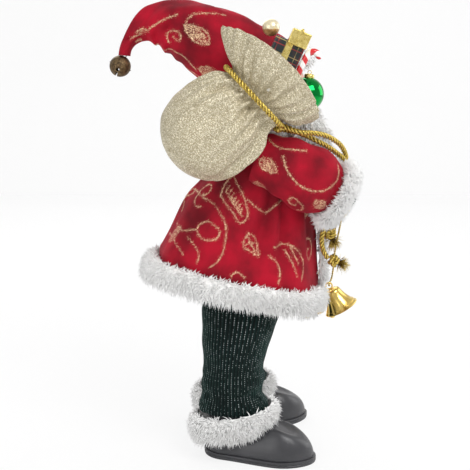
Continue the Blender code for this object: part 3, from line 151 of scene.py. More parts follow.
@dataclass(frozen=True)
class Section:
    """An oval cross section: its middle, half depth, half width and forward tilt."""

    x: float
    y: float
    z: float
    depth: float
    width: float
    tilt: float = 0.0

    def point(self, angle: float, out: float = 0.0) -> Vector:
        """A point lifted off the oval: the angle is 0 at the front and a quarter turn at the left."""
        forward = Vector((0, -cos(self.tilt), -sin(self.tilt)))
        return (MIDDLE + Vector((self.x, self.y, self.z)) + forward * (self.depth + out) * cos(angle)
                + Vector((1, 0, 0)) * (self.width + out) * sin(angle))


class Form:
    """A smooth run of sections."""

    def __init__(self, sections: Sequence[Section]) -> None:
        """Keep the sections, first to last."""
        self.columns = [[getattr(s, name) for s in sections] for name in Section.__dataclass_fields__]
        self.known: dict[float, Section] = {}

    def at(self, t: float) -> Section:
        """The section at t from 0 to 1."""
        key = round(t, 5)
        if key not in self.known:
            place = min(max(key, 0.0), 1.0)
            self.known[key] = Section(*(smooth_value(column, place) for column in self.columns))
        return self.known[key]


def form_of(rows: Sequence[Sequence[float]]) -> Form:
    """A form from rows of y, z, half depth, half width and forward tilt in degrees."""
    return Form([Section(0, *row[:4], radians(row[4])) for row in rows])


@dataclass(frozen=True)
class Crease:
    """A soft fold between two places of a surface: a valley when depth is positive."""

    start: tuple[float, float]
    end: tuple[float, float]
    depth: float
    width: float
    around: float = 0.070
    along: float = 0.140

    def sink(self, angle: float, t: float) -> float:
        """How deep the fold is at a place.

        Args:
            angle: the place's angle in radians.
            t: the place along the surface.

        Returns:
            The depth there, in metres.
        """
        turn = (angle - radians(self.start[0]) + pi) % (2 * pi) - pi
        x = turn * self.around
        y = (t - self.start[1]) * self.along
        run_x = radians(self.end[0] - self.start[0]) * self.around
        run_y = (self.end[1] - self.start[1]) * self.along
        length = hypot(run_x, run_y)
        share = min(max((x * run_x + y * run_y) / length**2, 0.0), 1.0)
        away = hypot(x - run_x * share, y - run_y * share)
        taper = sin(pi * (0.12 + 0.76 * share))
        return self.depth * taper * exp(-((away / self.width) ** 2))


def crease_rows(rows: Sequence[Sequence[float]], around: float = 0.070, along: float = 0.140
                ) -> tuple[Crease, ...]:
    """Creases from rows of numbers.

    Args:
        rows: start angle and t, end angle and t, depth, width, and the surface's size where it differs.
        around: the surface's size round, for a radian.
        along: its size along, from t 0 to 1.

    Returns:
        The creases.
    """
    return tuple(Crease(tuple(row[:2]), tuple(row[2:4]), *row[4:6], *(row[6:] or (around, along)))
                 for row in rows)


# Modelling helpers


def pick(piece: Piece) -> None:
    """Make one object the only selected one, and the active one."""
    bpy.ops.object.select_all(action="DESELECT")
    piece.select_set(True)
    bpy.context.view_layer.objects.active = piece


def in_edit_mode(piece: Piece, work: Callable[[], None]) -> None:
    """Run operators on all of a piece's mesh."""
    pick(piece)
    bpy.ops.object.mode_set(mode="EDIT")
    bpy.ops.mesh.select_all(action="SELECT")
    work()
    bpy.ops.object.mode_set(mode="OBJECT")


def settle(piece: Piece) -> Piece:
    """Write a piece's place, turn and scale into its mesh."""
    pick(piece)
    bpy.ops.object.transform_apply(location=True, rotation=True, scale=True)
    return piece


def apply_modifier(piece: Piece, kind: str, **settings: object) -> None:
    """Add a modifier with its settings and apply it."""
    pick(piece)
    modifier = piece.modifiers.new(kind.lower(), kind)
    for name, value in settings.items():
        setattr(modifier, name, value)
    bpy.ops.object.modifier_apply(modifier=modifier.name)


def join_all(name: str, pieces: Sequence[Piece]) -> Piece:
    """Join pieces into one object."""
    bpy.ops.object.select_all(action="DESELECT")
    for piece in pieces:
        piece.select_set(True)
    bpy.context.view_layer.objects.active = pieces[0]
    if len(pieces) > 1:
        bpy.ops.object.join()
    pieces[0].name = name
    return pieces[0]


def added(add: Callable[..., set[str]], name: str, **settings: object) -> Piece:
    """Add a mesh with one of Blender's operators, as the only selected object."""
    bpy.ops.object.select_all(action="DESELECT")
    add(**settings)
    piece = bpy.context.active_object
    piece.name = name
    return piece


def wrap(name: str, surface: Surface, around: int, along: int, filled: bool = True) -> Piece:
    """A skin: a flat grid whose points are moved onto a surface that closes round on itself.

    Args:
        name: the object's name.
        surface: a function of angle and t.
        around: how many faces round it.
        along: how many faces along it.
        filled: whether open ends are closed.

    Returns:
        The skin.
    """
    skin = added(bpy.ops.mesh.primitive_grid_add, name, x_subdivisions=around, y_subdivisions=along, size=1.0)
    places = np.empty(len(skin.data.vertices) * 3)
    skin.data.vertices.foreach_get("co", places)
    places = places.reshape(-1, 3) + 0.5
    moved = [surface(2 * pi * (u if u < 0.99999 else 0.0), v) for u, v, _ in places]
    skin.data.vertices.foreach_set("co", np.array([list(p) for p in moved]).ravel())

    def close() -> None:
        """Join the seam and the poles, and face everything outwards."""
        bpy.ops.mesh.remove_doubles(threshold=MERGE)
        if filled:
            bpy.ops.mesh.fill_holes(sides=0)
            bpy.ops.mesh.select_all(action="SELECT")
        bpy.ops.mesh.normals_make_consistent(inside=False)

    in_edit_mode(skin, close)
    skin.data.shade_smooth()
    return skin


def new_object(name: str, data: bpy.types.ID) -> Piece:
    """An object for new data, linked to the scene."""
    piece = bpy.data.objects.new(name, data)
    bpy.context.scene.collection.objects.link(piece)
    return piece


def copy_of(name: str, node: str) -> Piece:
    """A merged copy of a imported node's mesh, as a new object."""
    copy = new_object(name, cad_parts[node].data.copy())
    copy.data.materials.clear()
    in_edit_mode(copy, lambda: bpy.ops.mesh.remove_doubles(threshold=MERGE))
    return copy


def soften(piece: Piece, voxel: float, rounds: int) -> Piece:
    """Turn a piece into one even, rounded skin of small faces, smoothed some rounds."""
    apply_modifier(piece, "REMESH", mode="VOXEL", voxel_size=voxel)
    apply_modifier(piece, "SMOOTH", factor=0.6, iterations=rounds)
    piece.data.shade_smooth()
    return piece


def ball(name: str, centre: Vector, radii: Sequence[float], turn: Sequence[float] = (0, 0, 0),
         segments: int = 32) -> Piece:
    """A ball stretched to three radii, at its place."""
    piece = added(bpy.ops.mesh.primitive_uv_sphere_add, name, segments=segments, ring_count=segments // 2,
                  radius=1.0, location=centre, rotation=turn, scale=radii)
    piece.data.shade_smooth()
    return settle(piece)


def wire_ring(name: str, centre: Vector, radius: float, wire: float, axis: Vector) -> Piece:
    """A wire ring round an axis."""
    turn = Vector((0, 0, 1)).rotation_difference(axis).to_euler()
    piece = added(bpy.ops.mesh.primitive_torus_add, name, location=centre, rotation=turn, major_radius=radius,
                  minor_radius=wire, major_segments=32, minor_segments=10)
    piece.data.shade_smooth()
    return settle(piece)


def turned(name: str, profile: Sequence[tuple[float, float]], matrix: Matrix, steps: int) -> Piece:
    """A turned shape, spun from a profile of radius and height.

    Args:
        name: the object's name.
        profile: radius and height pairs, from one end on the axis to the other.
        matrix: the place of the turned shape's own frame.
        steps: how many faces round it.

    Returns:
        The shape.
    """
    mesh = bpy.data.meshes.new(name)
    points = [(radius, 0.0, height) for radius, height in profile]
    mesh.from_pydata(points, [(i, i + 1) for i in range(len(points) - 1)], [])
    piece = new_object(name, mesh)

    def spin() -> None:
        """Spin the profile once round and close it."""
        bpy.ops.mesh.spin(steps=steps, angle=2 * pi, center=(0, 0, 0), axis=(0, 0, 1))
        bpy.ops.mesh.select_all(action="SELECT")
        bpy.ops.mesh.remove_doubles(threshold=0.00001)
        bpy.ops.mesh.normals_make_consistent(inside=False)

    in_edit_mode(piece, spin)
    piece.matrix_world = matrix
    piece.data.shade_smooth()
    return settle(piece)


def frames_along(path: Sequence[Vector]) -> list[tuple[Vector, Vector]]:
    """Two directions square to a path at each of its points, turning as little as they can."""
    last = len(path) - 1
    tangents = [(path[min(i + 1, last)] - path[max(i - 1, 0)]).normalized() for i in range(last + 1)]
    start = Vector((0, 0, 1)) if abs(tangents[0].z) < 0.9 else Vector((0, 1, 0))
    first = (start - tangents[0] * start.dot(tangents[0])).normalized()
    frames = []
    for tangent in tangents:
        first = (first - tangent * first.dot(tangent)).normalized()
        frames.append((first, tangent.cross(first).normalized()))
    return frames


def twisted_cord(name: str, path: Sequence[Vector], diameter: float, strands: int, pitch: float,
                 sides: int = 7) -> Piece:
    """A cord of strands laid round each other.

    Args:
        name: the object's name.
        path: the cord's middle line, in even steps.
        diameter: the cord's outer diameter.
        strands: how many strands it has.
        pitch: the length of one turn of a strand.
        sides: how many faces round a strand.

    Returns:
        The cord.
    """
    frames = frames_along(path)
    reach = diameter / 4 * STRAND_OVERLAP
    points: list[Vector] = []
    faces: list[tuple[int, ...]] = []
    run = 0.0
    runs = [0.0]
    for a, b in zip(path, path[1:]):
        run += (b - a).length
        runs.append(run)
    for strand in range(strands):
        base = len(points)
        for centre, (first, second), along in zip(path, frames, runs):
            lead = 2 * pi * (along / pitch + strand / strands)
            outward = first * cos(lead) + second * sin(lead)
            across = second * cos(lead) - first * sin(lead)
            for side in range(sides):
                a = 2 * pi * side / sides
                points.append(centre + outward * (reach + reach * cos(a))
                              + across * reach * STRAND_WIDTH * sin(a))
        rows = len(path)
        for row in range(rows - 1):
            for side in range(sides):
                a = base + row * sides + side
                b = base + row * sides + (side + 1) % sides
                faces.append((a, b, b + sides, a + sides))
        faces.append(tuple(base + side for side in reversed(range(sides))))
        faces.append(tuple(base + (rows - 1) * sides + side for side in range(sides)))
    mesh = bpy.data.meshes.new(name)
    mesh.from_pydata([tuple(p) for p in points], [], faces)
    # The crest attribute, 1 on a strand's outside and 0 in the grooves, is what the cord's material paints
    # shade from.
    crest = [0.5 + 0.5 * cos(2 * pi * side / sides) for side in range(sides)]
    values = np.tile(crest, len(points) // sides)
    mesh.attributes.new("crest", "FLOAT", "POINT").data.foreach_set("value", values)
    piece = new_object(name, mesh)
    mesh.shade_smooth()
    return piece


@dataclass(frozen=True)
class Pile:
    """A pile of tapered hairs growing out of a skin."""

    count: int
    length: float
    radius: float
    segments: int = 2
    lay: tuple[float, float, float] = (0.0, 0.0, -0.5)
    droop: float = 0.15
    stray: float = 0.45
    clump: float = 0.35
    wave: float = 0.0
    waves: float = 2.0
    seed: int = 1
    parted: bool = False
    worn: Optional[tuple[Vector, float]] = None

    def grow(self, skin: Piece, keep: Optional[HairTest] = None
             ) -> Piece:
        """Grow the hairs out of a skin and join them to it.

        Args:
            skin: the object that they grow from.
            keep: tells from places and normals which hairs are kept.

        Returns:
            The skin with its pile.
        """
        rng = np.random.default_rng(self.seed)
        skin.data.calc_loop_triangles()
        corners = np.empty(len(skin.data.loop_triangles) * 3, np.int32)
        skin.data.loop_triangles.foreach_get("vertices", corners)
        places = np.empty(len(skin.data.vertices) * 3)
        skin.data.vertices.foreach_get("co", places)
        triangle = places.reshape(-1, 3)[corners.reshape(-1, 3)]
        square = np.cross(triangle[:, 1] - triangle[:, 0], triangle[:, 2] - triangle[:, 0])
        area = np.linalg.norm(square, axis=1)
        chosen = rng.choice(len(area), self.count, p=area / area.sum())
        a, b = rng.random((2, self.count))
        over = a + b > 1
        a[over], b[over] = 1 - a[over], 1 - b[over]
        corner = triangle[chosen]
        edges = corner[:, 1:] - corner[:, :1]
        root = corner[:, 0] + edges[:, 0] * a[:, None] + edges[:, 1] * b[:, None]
        normal = square[chosen] / area[chosen][:, None]
        if keep is not None:
            kept = keep(root, normal)
            root, normal = root[kept], normal[kept]
        return self._add(skin, root, normal, rng)

    def _add(self, skin: Piece, root: np.ndarray, normal: np.ndarray,
             rng: np.random.Generator) -> Piece:
        """Build the hairs at their roots and join them to the skin."""
        count = len(root)
        drift = np.array([list(noise.noise_vector(Vector(p) * CLUMP_SCALE)) for p in root])
        lay = np.tile(np.array(self.lay, float), (count, 1))
        if self.parted:
            lay[:, 0] *= np.sign(root[:, 0] - MIDDLE.x)
        heading = normal + lay + drift * self.clump + rng.normal(0, self.stray, (count, 3))
        heading += normal * np.maximum(0.0, LEAST_RISE - (heading * normal).sum(1))[:, None]
        heading /= np.linalg.norm(heading, axis=1)[:, None]
        helper = np.where(np.abs(heading[:, 2:3]) < 0.9, [[0.0, 0.0, 1.0]], [[1.0, 0.0, 0.0]])
        first = np.cross(helper, heading)
        first /= np.linalg.norm(first, axis=1)[:, None]
        second = np.cross(heading, first)
        length = self.length * rng.uniform(0.65, 1.1, count)
        if self.worn is not None:
            centre, reach = self.worn
            length *= np.clip((np.linalg.norm(root - np.array(centre), axis=1) - reach) / WORN_EDGE, 0.2, 1.0)
        phase = rng.uniform(0, 2 * pi, count)
        rows = []
        for k in range(self.segments + 1):
            share = k / self.segments
            swing = phase + share * self.waves * 2 * pi
            bend = first * np.cos(swing)[:, None] + second * np.sin(swing)[:, None]
            bend = bend * self.wave * min(1, 2 * share)
            middle = root - normal * ROOT_DEPTH + heading * (length * share)[:, None] + bend
            middle[:, 2] -= self.droop * length * share**2
            thick = self.radius * (1 - share) ** HAIR_TAPER
            if k == self.segments:
                rows.append(middle[:, None, :])
                continue
            ring = [middle + (first * cos(t) + second * sin(t)) * thick
                    for t in (0, 2 * pi / 3, 4 * pi / 3)]
            rows.append(np.stack(ring, axis=1))
        points = np.concatenate(rows, axis=1)
        one = self._faces()
        size = points.shape[1]
        faces = (one[None] + (np.arange(count) * size)[:, None, None]).reshape(-1, 3)
        mesh = bpy.data.meshes.new(skin.name + "_pile")
        mesh.from_pydata(points.reshape(-1, 3).tolist(), [], faces.tolist())
        # The tip attribute runs from 0 at a hair's root to 1 at its tip; the pile's material paints shade
        # from it.
        shares = np.array([k // 3 / self.segments for k in range(size - 1)] + [1.0])
        mesh.attributes.new("tip", "FLOAT", "POINT").data.foreach_set("value", np.tile(shares, count))
        hairs = new_object(skin.name + "_pile", mesh)
        mesh.shade_smooth()
        return join_all(skin.name, [skin, hairs])

    def _faces(self) -> np.ndarray:
        """The triangles of one hair: its foot, its sides and its tip."""
        faces = [(0, 2, 1)]
        for k in range(self.segments - 1):
            for j in range(3):
                a, b = 3 * k + j, 3 * k + (j + 1) % 3
                faces += [(a, b, b + 3), (a, b + 3, a + 3)]
        last = 3 * (self.segments - 1)
        faces += [(last + j, last + (j + 1) % 3, last + 3) for j in range(3)]
        return np.array(faces)


def round_axis(x: float = MIDDLE.x, y: float = MIDDLE.y, inner: float = 0.0) -> HairTest:
    """A test that keeps the hairs that face away from an upright axis, and a share of the inner ones."""
    def keep(root: np.ndarray, normal: np.ndarray) -> np.ndarray:
        """Which hairs are kept."""
        away = root[:, :2] - np.array([x, y])
        away /= np.linalg.norm(away, axis=1)[:, None]
        outward = (away * normal[:, :2]).sum(1) > -0.25
        return outward | (np.random.default_rng(INWARD_SEED).random(len(root)) < inner)

    return keep


# Finishes


class Recipe:
    """A Principled material under construction."""

    def __init__(self, name: str, colour: Colour = (0.8, 0.8, 0.8), roughness: float = 0.5,
                 metallic: float = 0.0) -> None:
        """Start a material of one colour."""
        self.material = bpy.data.materials.new(name)
        self.material.use_nodes = True
        self.tree = self.material.node_tree
        self.shader = self.tree.nodes["Principled BSDF"]
        self.set(**{"Base Color": (*colour, 1.0), "Roughness": roughness, "Metallic": metallic})

    def set(self, **values: object) -> None:
        """Set the shader's own sockets."""
        for name, value in values.items():
            self.shader.inputs[name].default_value = value

    def node(self, kind: str, **values: object) -> bpy.types.Node:
        """Add a node; values name its settings or its inputs."""
        node = self.tree.nodes.new("ShaderNode" + kind)
        for name, value in values.items():
            label = name.replace("_", " ").title()
            if hasattr(node, name):
                setattr(node, name, value)
            elif label in node.inputs:
                node.inputs[label].default_value = value
            else:
                node.inputs[name].default_value = value
        return node

    def link(self, source: Socket, target: Socket) -> None:
        """Join two sockets."""
        self.tree.links.new(source, target)

    def place(self, kind: str = "Object") -> Socket:
        """The coordinates that a pattern reads."""
        return self.node("TexCoord").outputs[kind]

    def noise(self, scale: float, detail: float = 3.0, kind: str = "Object") -> Socket:
        """A noise pattern's value."""
        node = self.node("TexNoise", scale=scale, detail=detail)
        self.link(self.place(kind), node.inputs["Vector"])
        return node.outputs["Fac"]

    def math(self, operation: str, first: object, second: object = 0.0) -> Socket:
        """One sum of two values, each a number or a socket."""
        node = self.node("Math", operation=operation)
        for slot, value in zip(node.inputs, (first, second)):
            if isinstance(value, Socket):
                self.link(value, slot)
            else:
                slot.default_value = value
        return node.outputs[0]

    def range(self, value: Socket, low: float, high: float, start: float = 0.0,
              end: float = 1.0) -> Socket:
        """Stretch a value from low and high to start and end, and clamp it."""
        node = self.node("MapRange")
        self.link(value, node.inputs["Value"])
        for name, number in (("From Min", low), ("From Max", high), ("To Min", start), ("To Max", end)):
            node.inputs[name].default_value = number
        return node.outputs["Result"]

    def blend(self, factor: Socket, first: object, second: object) -> Socket:
        """Mix two colours, each a colour or a socket."""
        node = self.node("Mix", data_type="RGBA")
        self.link(factor, node.inputs["Factor"])
        for slot, value in ((node.inputs[6], first), (node.inputs[7], second)):
            if isinstance(value, Socket):
                self.link(value, slot)
            else:
                slot.default_value = (*value, 1.0)
        return node.outputs[2]

    def group(self, tree: bpy.types.NodeTree, kind: str = "Object", **values: float) -> bpy.types.Node:
        """Place a shared effect, with its own values."""
        node = self.node("Group")
        node.node_tree = tree
        self.link(self.place(kind), node.inputs["Place"])
        for name, value in values.items():
            node.inputs[name].default_value = value
        return node

    def times(self, first: object, second: object) -> Socket:
        """The product of two values."""
        return self.math("MULTIPLY", first, second)

    def attribute(self, name: str) -> Socket:
        """One of the piece's own attributes."""
        return self.node("Attribute", attribute_name=name).outputs["Fac"]

    def axes(self, place: Socket) -> Sequence[Socket]:
        """A place's X, Y and Z."""
        split = self.node("SeparateXYZ")
        self.link(place, split.inputs[0])
        return [split.outputs[axis] for axis in "XYZ"]

    def feed(self, name: str, source: Socket) -> None:
        """Feed one of the shader's own sockets."""
        self.link(source, self.shader.inputs[name])

    def colour(self, source: Socket) -> None:
        """Feed the colour."""
        self.feed("Base Color", source)

    def bump(self, height: Socket, depth: float, strength: float = 1.0) -> None:
        """Feed the surface's relief, with its depth in metres."""
        node = self.node("Bump", strength=strength, distance=depth)
        self.link(height, node.inputs["Height"])
        self.link(node.outputs["Normal"], self.shader.inputs["Normal"])


def new_group(name: str, outputs: Sequence[str]) -> bpy.types.NodeTree:
    """Start a shared effect that reads a place and a scale and gives named numbers."""
    tree = bpy.data.node_groups.new(name, "ShaderNodeTree")
    tree.interface.new_socket("Place", in_out="INPUT", socket_type="NodeSocketVector")
    tree.interface.new_socket("Scale", in_out="INPUT", socket_type="NodeSocketFloat")
    for output in outputs:
        tree.interface.new_socket(output, in_out="OUTPUT", socket_type="NodeSocketFloat")
    return tree


def join_sockets(tree: bpy.types.NodeTree, *pairs: tuple[Socket, Socket]) -> None:
    """Link pairs of sockets."""
    for source, target in pairs:
        tree.links.new(source, target)


def make_grain() -> bpy.types.NodeTree:
    """The fine grain of cloth, felt or moulded plastic, with broader worn patches."""
    tree = new_group("grain", ("Height", "Patches"))
    start = tree.nodes.new("NodeGroupInput")
    end = tree.nodes.new("NodeGroupOutput")
    fine = tree.nodes.new("ShaderNodeTexNoise")
    broad = tree.nodes.new("ShaderNodeTexNoise")
    share = tree.nodes.new("ShaderNodeMath")
    share.operation = "MULTIPLY"
    share.inputs[1].default_value = 0.06
    fine.inputs["Detail"].default_value = 4.0
    broad.inputs["Detail"].default_value = 2.0
    place, scale = start.outputs["Place"], start.outputs["Scale"]
    join_sockets(tree, (place, fine.inputs["Vector"]), (place, broad.inputs["Vector"]),
                 (scale, fine.inputs["Scale"]), (scale, share.inputs[0]),
                 (share.outputs[0], broad.inputs["Scale"]),
                 (fine.outputs["Fac"], end.inputs["Height"]), (broad.outputs["Fac"], end.inputs["Patches"]))
    return tree


def make_glitter() -> bpy.types.NodeTree:
    """Flakes of glitter: a random value for each flake, and its relief."""
    tree = new_group("glitter", ("Flake", "Relief"))
    start = tree.nodes.new("NodeGroupInput")
    end = tree.nodes.new("NodeGroupOutput")
    cells = tree.nodes.new("ShaderNodeTexVoronoi")
    split = tree.nodes.new("ShaderNodeSeparateColor")
    join_sockets(tree, (start.outputs["Place"], cells.inputs["Vector"]),
                 (start.outputs["Scale"], cells.inputs["Scale"]),
                 (cells.outputs["Color"], split.inputs["Color"]), (split.outputs["Red"], end.inputs["Flake"]),
                 (split.outputs["Green"], end.inputs["Relief"]))
    return tree


GRAIN = make_grain()
GLITTER = make_glitter()


@dataclass(frozen=True)
class VelvetFinish:
    """Crushed velvet with glitter scrolls, read from the piece's gold attribute, with painted glints on the
    gold flakes.
    """

    name: str = "red_velvet"
    dark: Colour = (0.120, 0.0006, 0.006)
    bright: Colour = (0.41, 0.0016, 0.018)
    gold: Colour = (1.0, 0.78, 0.50)
    line: float = 0.00100
    scatter: float = 0.0030

    def make(self) -> Material:
        """Build the material."""
        recipe = Recipe(self.name, self.bright, 0.85)
        recipe.set(**{"Sheen Weight": 0.22, "Sheen Roughness": 0.35, "Sheen Tint": (1.0, 0.10, 0.16, 1.0),
                      "Specular IOR Level": 0.25})
        grain = recipe.group(GRAIN, Scale=900.0)
        nap = recipe.range(recipe.noise(30.0, 6.0), 0.32, 0.66)
        cloth = recipe.blend(nap, self.dark, self.bright)
        away = recipe.attribute("gold")
        line = recipe.range(away, self.line * 1.25, self.line * 0.55)
        flakes = recipe.group(GLITTER, Scale=1900.0)
        gaps = recipe.range(recipe.noise(260.0, 2.0), 0.33, 0.45, 0.25, 1.0)
        chosen = recipe.times(gaps, recipe.range(flakes.outputs["Flake"], 0.42, 0.50))
        strays = recipe.times(recipe.range(away, self.scatter, self.scatter * 0.4),
                             recipe.range(flakes.outputs["Flake"], 0.93, 0.95))
        mask = recipe.math("MAXIMUM", recipe.times(line, chosen), strays)
        # Painted glints: each gold flake is painted lighter or darker, standing in for the light that it
        # catches.
        painted_glints = recipe.range(flakes.outputs["Relief"], 0.2, 1.0, 0.35, 1.0)
        gold = recipe.blend(painted_glints, (0.42, 0.20, 0.09), self.gold)
        recipe.colour(recipe.blend(mask, cloth, gold))
        recipe.feed("Metallic", recipe.times(mask, 0.75))
        recipe.feed("Roughness", recipe.range(mask, 0.0, 1.0, 0.85, 0.38))
        relief = recipe.math("ADD", recipe.times(grain.outputs["Height"], 0.6),
                             recipe.times(mask, flakes.outputs["Relief"]))
        recipe.bump(relief, 0.0006, 0.7)
        return recipe.material


@dataclass(frozen=True)
class PileFinish:
    """Fur or hair, painted darker at the root than at the tip as shade deep in the pile."""

    name: str
    root: Colour
    tip: Colour
    roughness: float = 0.85

    def make(self) -> Material:
        """Build the material."""
        recipe = Recipe(self.name, self.tip, self.roughness)
        recipe.set(**{"Sheen Weight": 0.6, "Sheen Roughness": 0.5, "Specular IOR Level": 0.2})
        along = recipe.attribute("tip")
        grain = recipe.group(GRAIN, Scale=500.0)
        # Painted shade towards the hairs' roots, with random patches added.
        shade = recipe.math("ADD", recipe.times(along, 0.75),
                            recipe.range(grain.outputs["Patches"], 0.35, 0.65, 0.0, 0.30))
        recipe.colour(recipe.blend(shade, self.root, self.tip))
        recipe.bump(grain.outputs["Height"], 0.0004, 0.4)
        return recipe.material


@dataclass(frozen=True)
class MetalClothFinish:
    """Woven metallic cloth with a fine sparkle: some flakes are painted near white as glints, and the weave
    is painted darker in its hollows as shade.
    """

    name: str = "sack_cloth"
    thread: Colour = (0.55, 0.48, 0.32)
    # The colour of the painted shade in the weave's hollows.
    shade: Colour = (0.25, 0.205, 0.12)
    # The colour of the painted glints.
    painted_glint: Colour = (1.0, 0.94, 0.76)

    def make(self) -> Material:
        """Build the material."""
        recipe = Recipe(self.name, self.thread, 0.5, 0.45)
        flakes = recipe.group(GLITTER, Scale=2100.0)
        grain = recipe.group(GRAIN, Scale=2400.0)
        # Painted shade: the weave is darker where its relief is low.
        weave = recipe.blend(recipe.range(grain.outputs["Height"], 0.35, 0.62), self.shade, self.thread)
        # Painted glints: some flakes are painted near white.
        painted_glints = recipe.range(flakes.outputs["Flake"], 0.72, 0.86)
        recipe.colour(recipe.blend(painted_glints, weave, self.painted_glint))
        recipe.feed("Roughness", recipe.range(flakes.outputs["Relief"], 0.0, 1.0, 0.34, 0.68))
        relief = recipe.math("ADD", grain.outputs["Height"],
                             recipe.times(flakes.outputs["Relief"], 0.8))
        recipe.bump(relief, 0.0003, 0.8)
        return recipe.material


@dataclass(frozen=True)
class RibFinish:
    """Dark ribbed velvet with dotted lines of metallic thread, laid by the piece's UV map; the ribs are
    painted with a highlight on their crests and shade in their valleys.
    """

    name: str = "trouser_velvet"
    dark: Colour = (0.002, 0.004, 0.004)
    # The colour of the painted highlight on the ribs' crests.
    bright: Colour = (0.005, 0.017, 0.015)
    thread: Colour = (0.55, 0.62, 0.62)
    ribs: int = 58

    def make(self) -> Material:
        """Build the material."""
        recipe = Recipe(self.name, self.dark, 0.85)
        recipe.set(**{"Sheen Weight": 0.10, "Sheen Tint": (0.3, 0.7, 0.6, 1.0), "Specular IOR Level": 0.12})
        around, along, _ = recipe.axes(recipe.place("UV"))
        turn = recipe.times(around, self.ribs * 2 * pi)
        rib = recipe.range(recipe.math("SINE", turn), -1.0, 1.0)
        patches = recipe.noise(45.0, 4.0)
        # Painted highlight and shade: lighter on the ribs' crests and darker in their valleys, with random
        # patches.
        shade = recipe.times(rib, recipe.range(patches, 0.3, 0.7, 0.35, 1.0))
        cloth = recipe.blend(shade, self.dark, self.bright)
        line = recipe.range(recipe.math("COSINE", turn), 0.90, 0.985)
        dots = recipe.times(along, 2 * pi * 62)
        dash = recipe.range(recipe.math("SINE", dots), 0.0, 0.35)
        thinned = recipe.range(recipe.noise(260.0, 2.0), 0.46, 0.56)
        thread = recipe.times(recipe.times(line, dash), thinned)
        recipe.colour(recipe.blend(thread, cloth, self.thread))
        recipe.feed("Metallic", recipe.times(thread, 0.8))
        recipe.feed("Roughness", recipe.range(thread, 0.0, 1.0, 0.85, 0.35))
        recipe.bump(recipe.math("ADD", rib, recipe.times(patches, 0.4)), 0.0009, 0.8)
        return recipe.material


@dataclass(frozen=True)
class MetalFinish:
    """Brass or foil, with a little tarnish."""

    name: str
    metal: Colour
    tarnish: Colour
    roughness: float
    grain: float = 160.0
    relief: float = 0.0001

    def make(self) -> Material:
        """Build the material."""
        recipe = Recipe(self.name, self.metal, self.roughness, 1.0)
        grain = recipe.group(GRAIN, Scale=self.grain)
        worn = recipe.range(grain.outputs["Height"], 0.40, 0.68)
        recipe.colour(recipe.blend(worn, self.metal, self.tarnish))
        rough = recipe.range(grain.outputs["Patches"], 0.3, 0.7, self.roughness * 0.7, self.roughness * 1.5)
        recipe.feed("Roughness", rough)
        recipe.bump(grain.outputs["Height"], self.relief, 0.6)
        return recipe.material


@dataclass(frozen=True)
class MouldedFinish:
    """Moulded plastic, resin or felt: one colour with faint patches and a fine grain."""

    name: str
    colour: Colour
    worn: Colour
    roughness: float
    coat: float = 0.0
    grain: float = 700.0
    relief: float = 0.0002

    def make(self) -> Material:
        """Build the material."""
        recipe = Recipe(self.name, self.colour, self.roughness)
        recipe.set(**{"Coat Weight": self.coat, "Coat Roughness": 0.25})
        grain = recipe.group(GRAIN, Scale=self.grain)
        patches = recipe.range(grain.outputs["Patches"], 0.38, 0.66)
        recipe.colour(recipe.blend(patches, self.colour, self.worn))
        rough = recipe.range(grain.outputs["Height"], 0.3, 0.7, self.roughness * 0.85, self.roughness * 1.15)
        recipe.feed("Roughness", rough)
        recipe.bump(grain.outputs["Height"], self.relief, 0.5)
        return recipe.material


@dataclass(frozen=True)
class FaceFinish:
    """Painted skin, rosy at the cheeks and nose, read from the piece's blush attribute."""

    name: str = "face_resin"
    skin: Colour = (0.74, 0.44, 0.33)
    blush: Colour = (0.66, 0.16, 0.13)

    def make(self) -> Material:
        """Build the material."""
        recipe = Recipe(self.name, self.skin, 0.5)
        recipe.set(**{"Subsurface Weight": 0.08, "Subsurface Scale": 0.004})
        blush = recipe.attribute("blush")
        grain = recipe.group(GRAIN, Scale=600.0)
        tone = recipe.math("ADD", blush, recipe.range(grain.outputs["Patches"], 0.3, 0.7, -0.04, 0.08))
        recipe.colour(recipe.blend(tone, self.skin, self.blush))
        recipe.bump(grain.outputs["Height"], 0.0001, 0.3)
        return recipe.material


@dataclass(frozen=True)
class CheckFinish:
    """Checked wrapping paper: broad dark checks with thin red and gold lines."""

    name: str = "green_paper"
    green: Colour = (0.010, 0.050, 0.034)
    dark: Colour = (0.004, 0.010, 0.016)
    red: Colour = (0.42, 0.02, 0.02)
    gold: Colour = (0.72, 0.55, 0.22)
    check: float = 85.0

    def make(self) -> Material:
        """Build the material."""
        recipe = Recipe(self.name, self.green, 0.28)
        recipe.set(**{"Coat Weight": 0.4, "Coat Roughness": 0.15})
        turn = recipe.node("Mapping")
        turn.inputs["Rotation"].default_value = (radians(-23.5), 0, 0)
        recipe.link(recipe.place(), turn.inputs["Vector"])
        colour: object = self.green
        for axis in recipe.axes(turn.outputs[0]):
            place = recipe.math("FRACT", recipe.times(axis, self.check))
            for middle, outer, inner, strength, tint in (
                    (0.5, 0.20, 0.22, 0.55, self.dark), (0.12, 0.045, 0.03, 0.8, self.red),
                    (0.5, 0.035, 0.02, 0.75, self.gold)):
                away = recipe.math("ABSOLUTE", recipe.math("SUBTRACT", place, middle))
                colour = recipe.blend(recipe.times(recipe.range(away, outer, inner), strength), colour, tint)
        recipe.colour(colour)
        recipe.bump(recipe.noise(240.0, 2.0), 0.0003, 0.4)
        return recipe.material


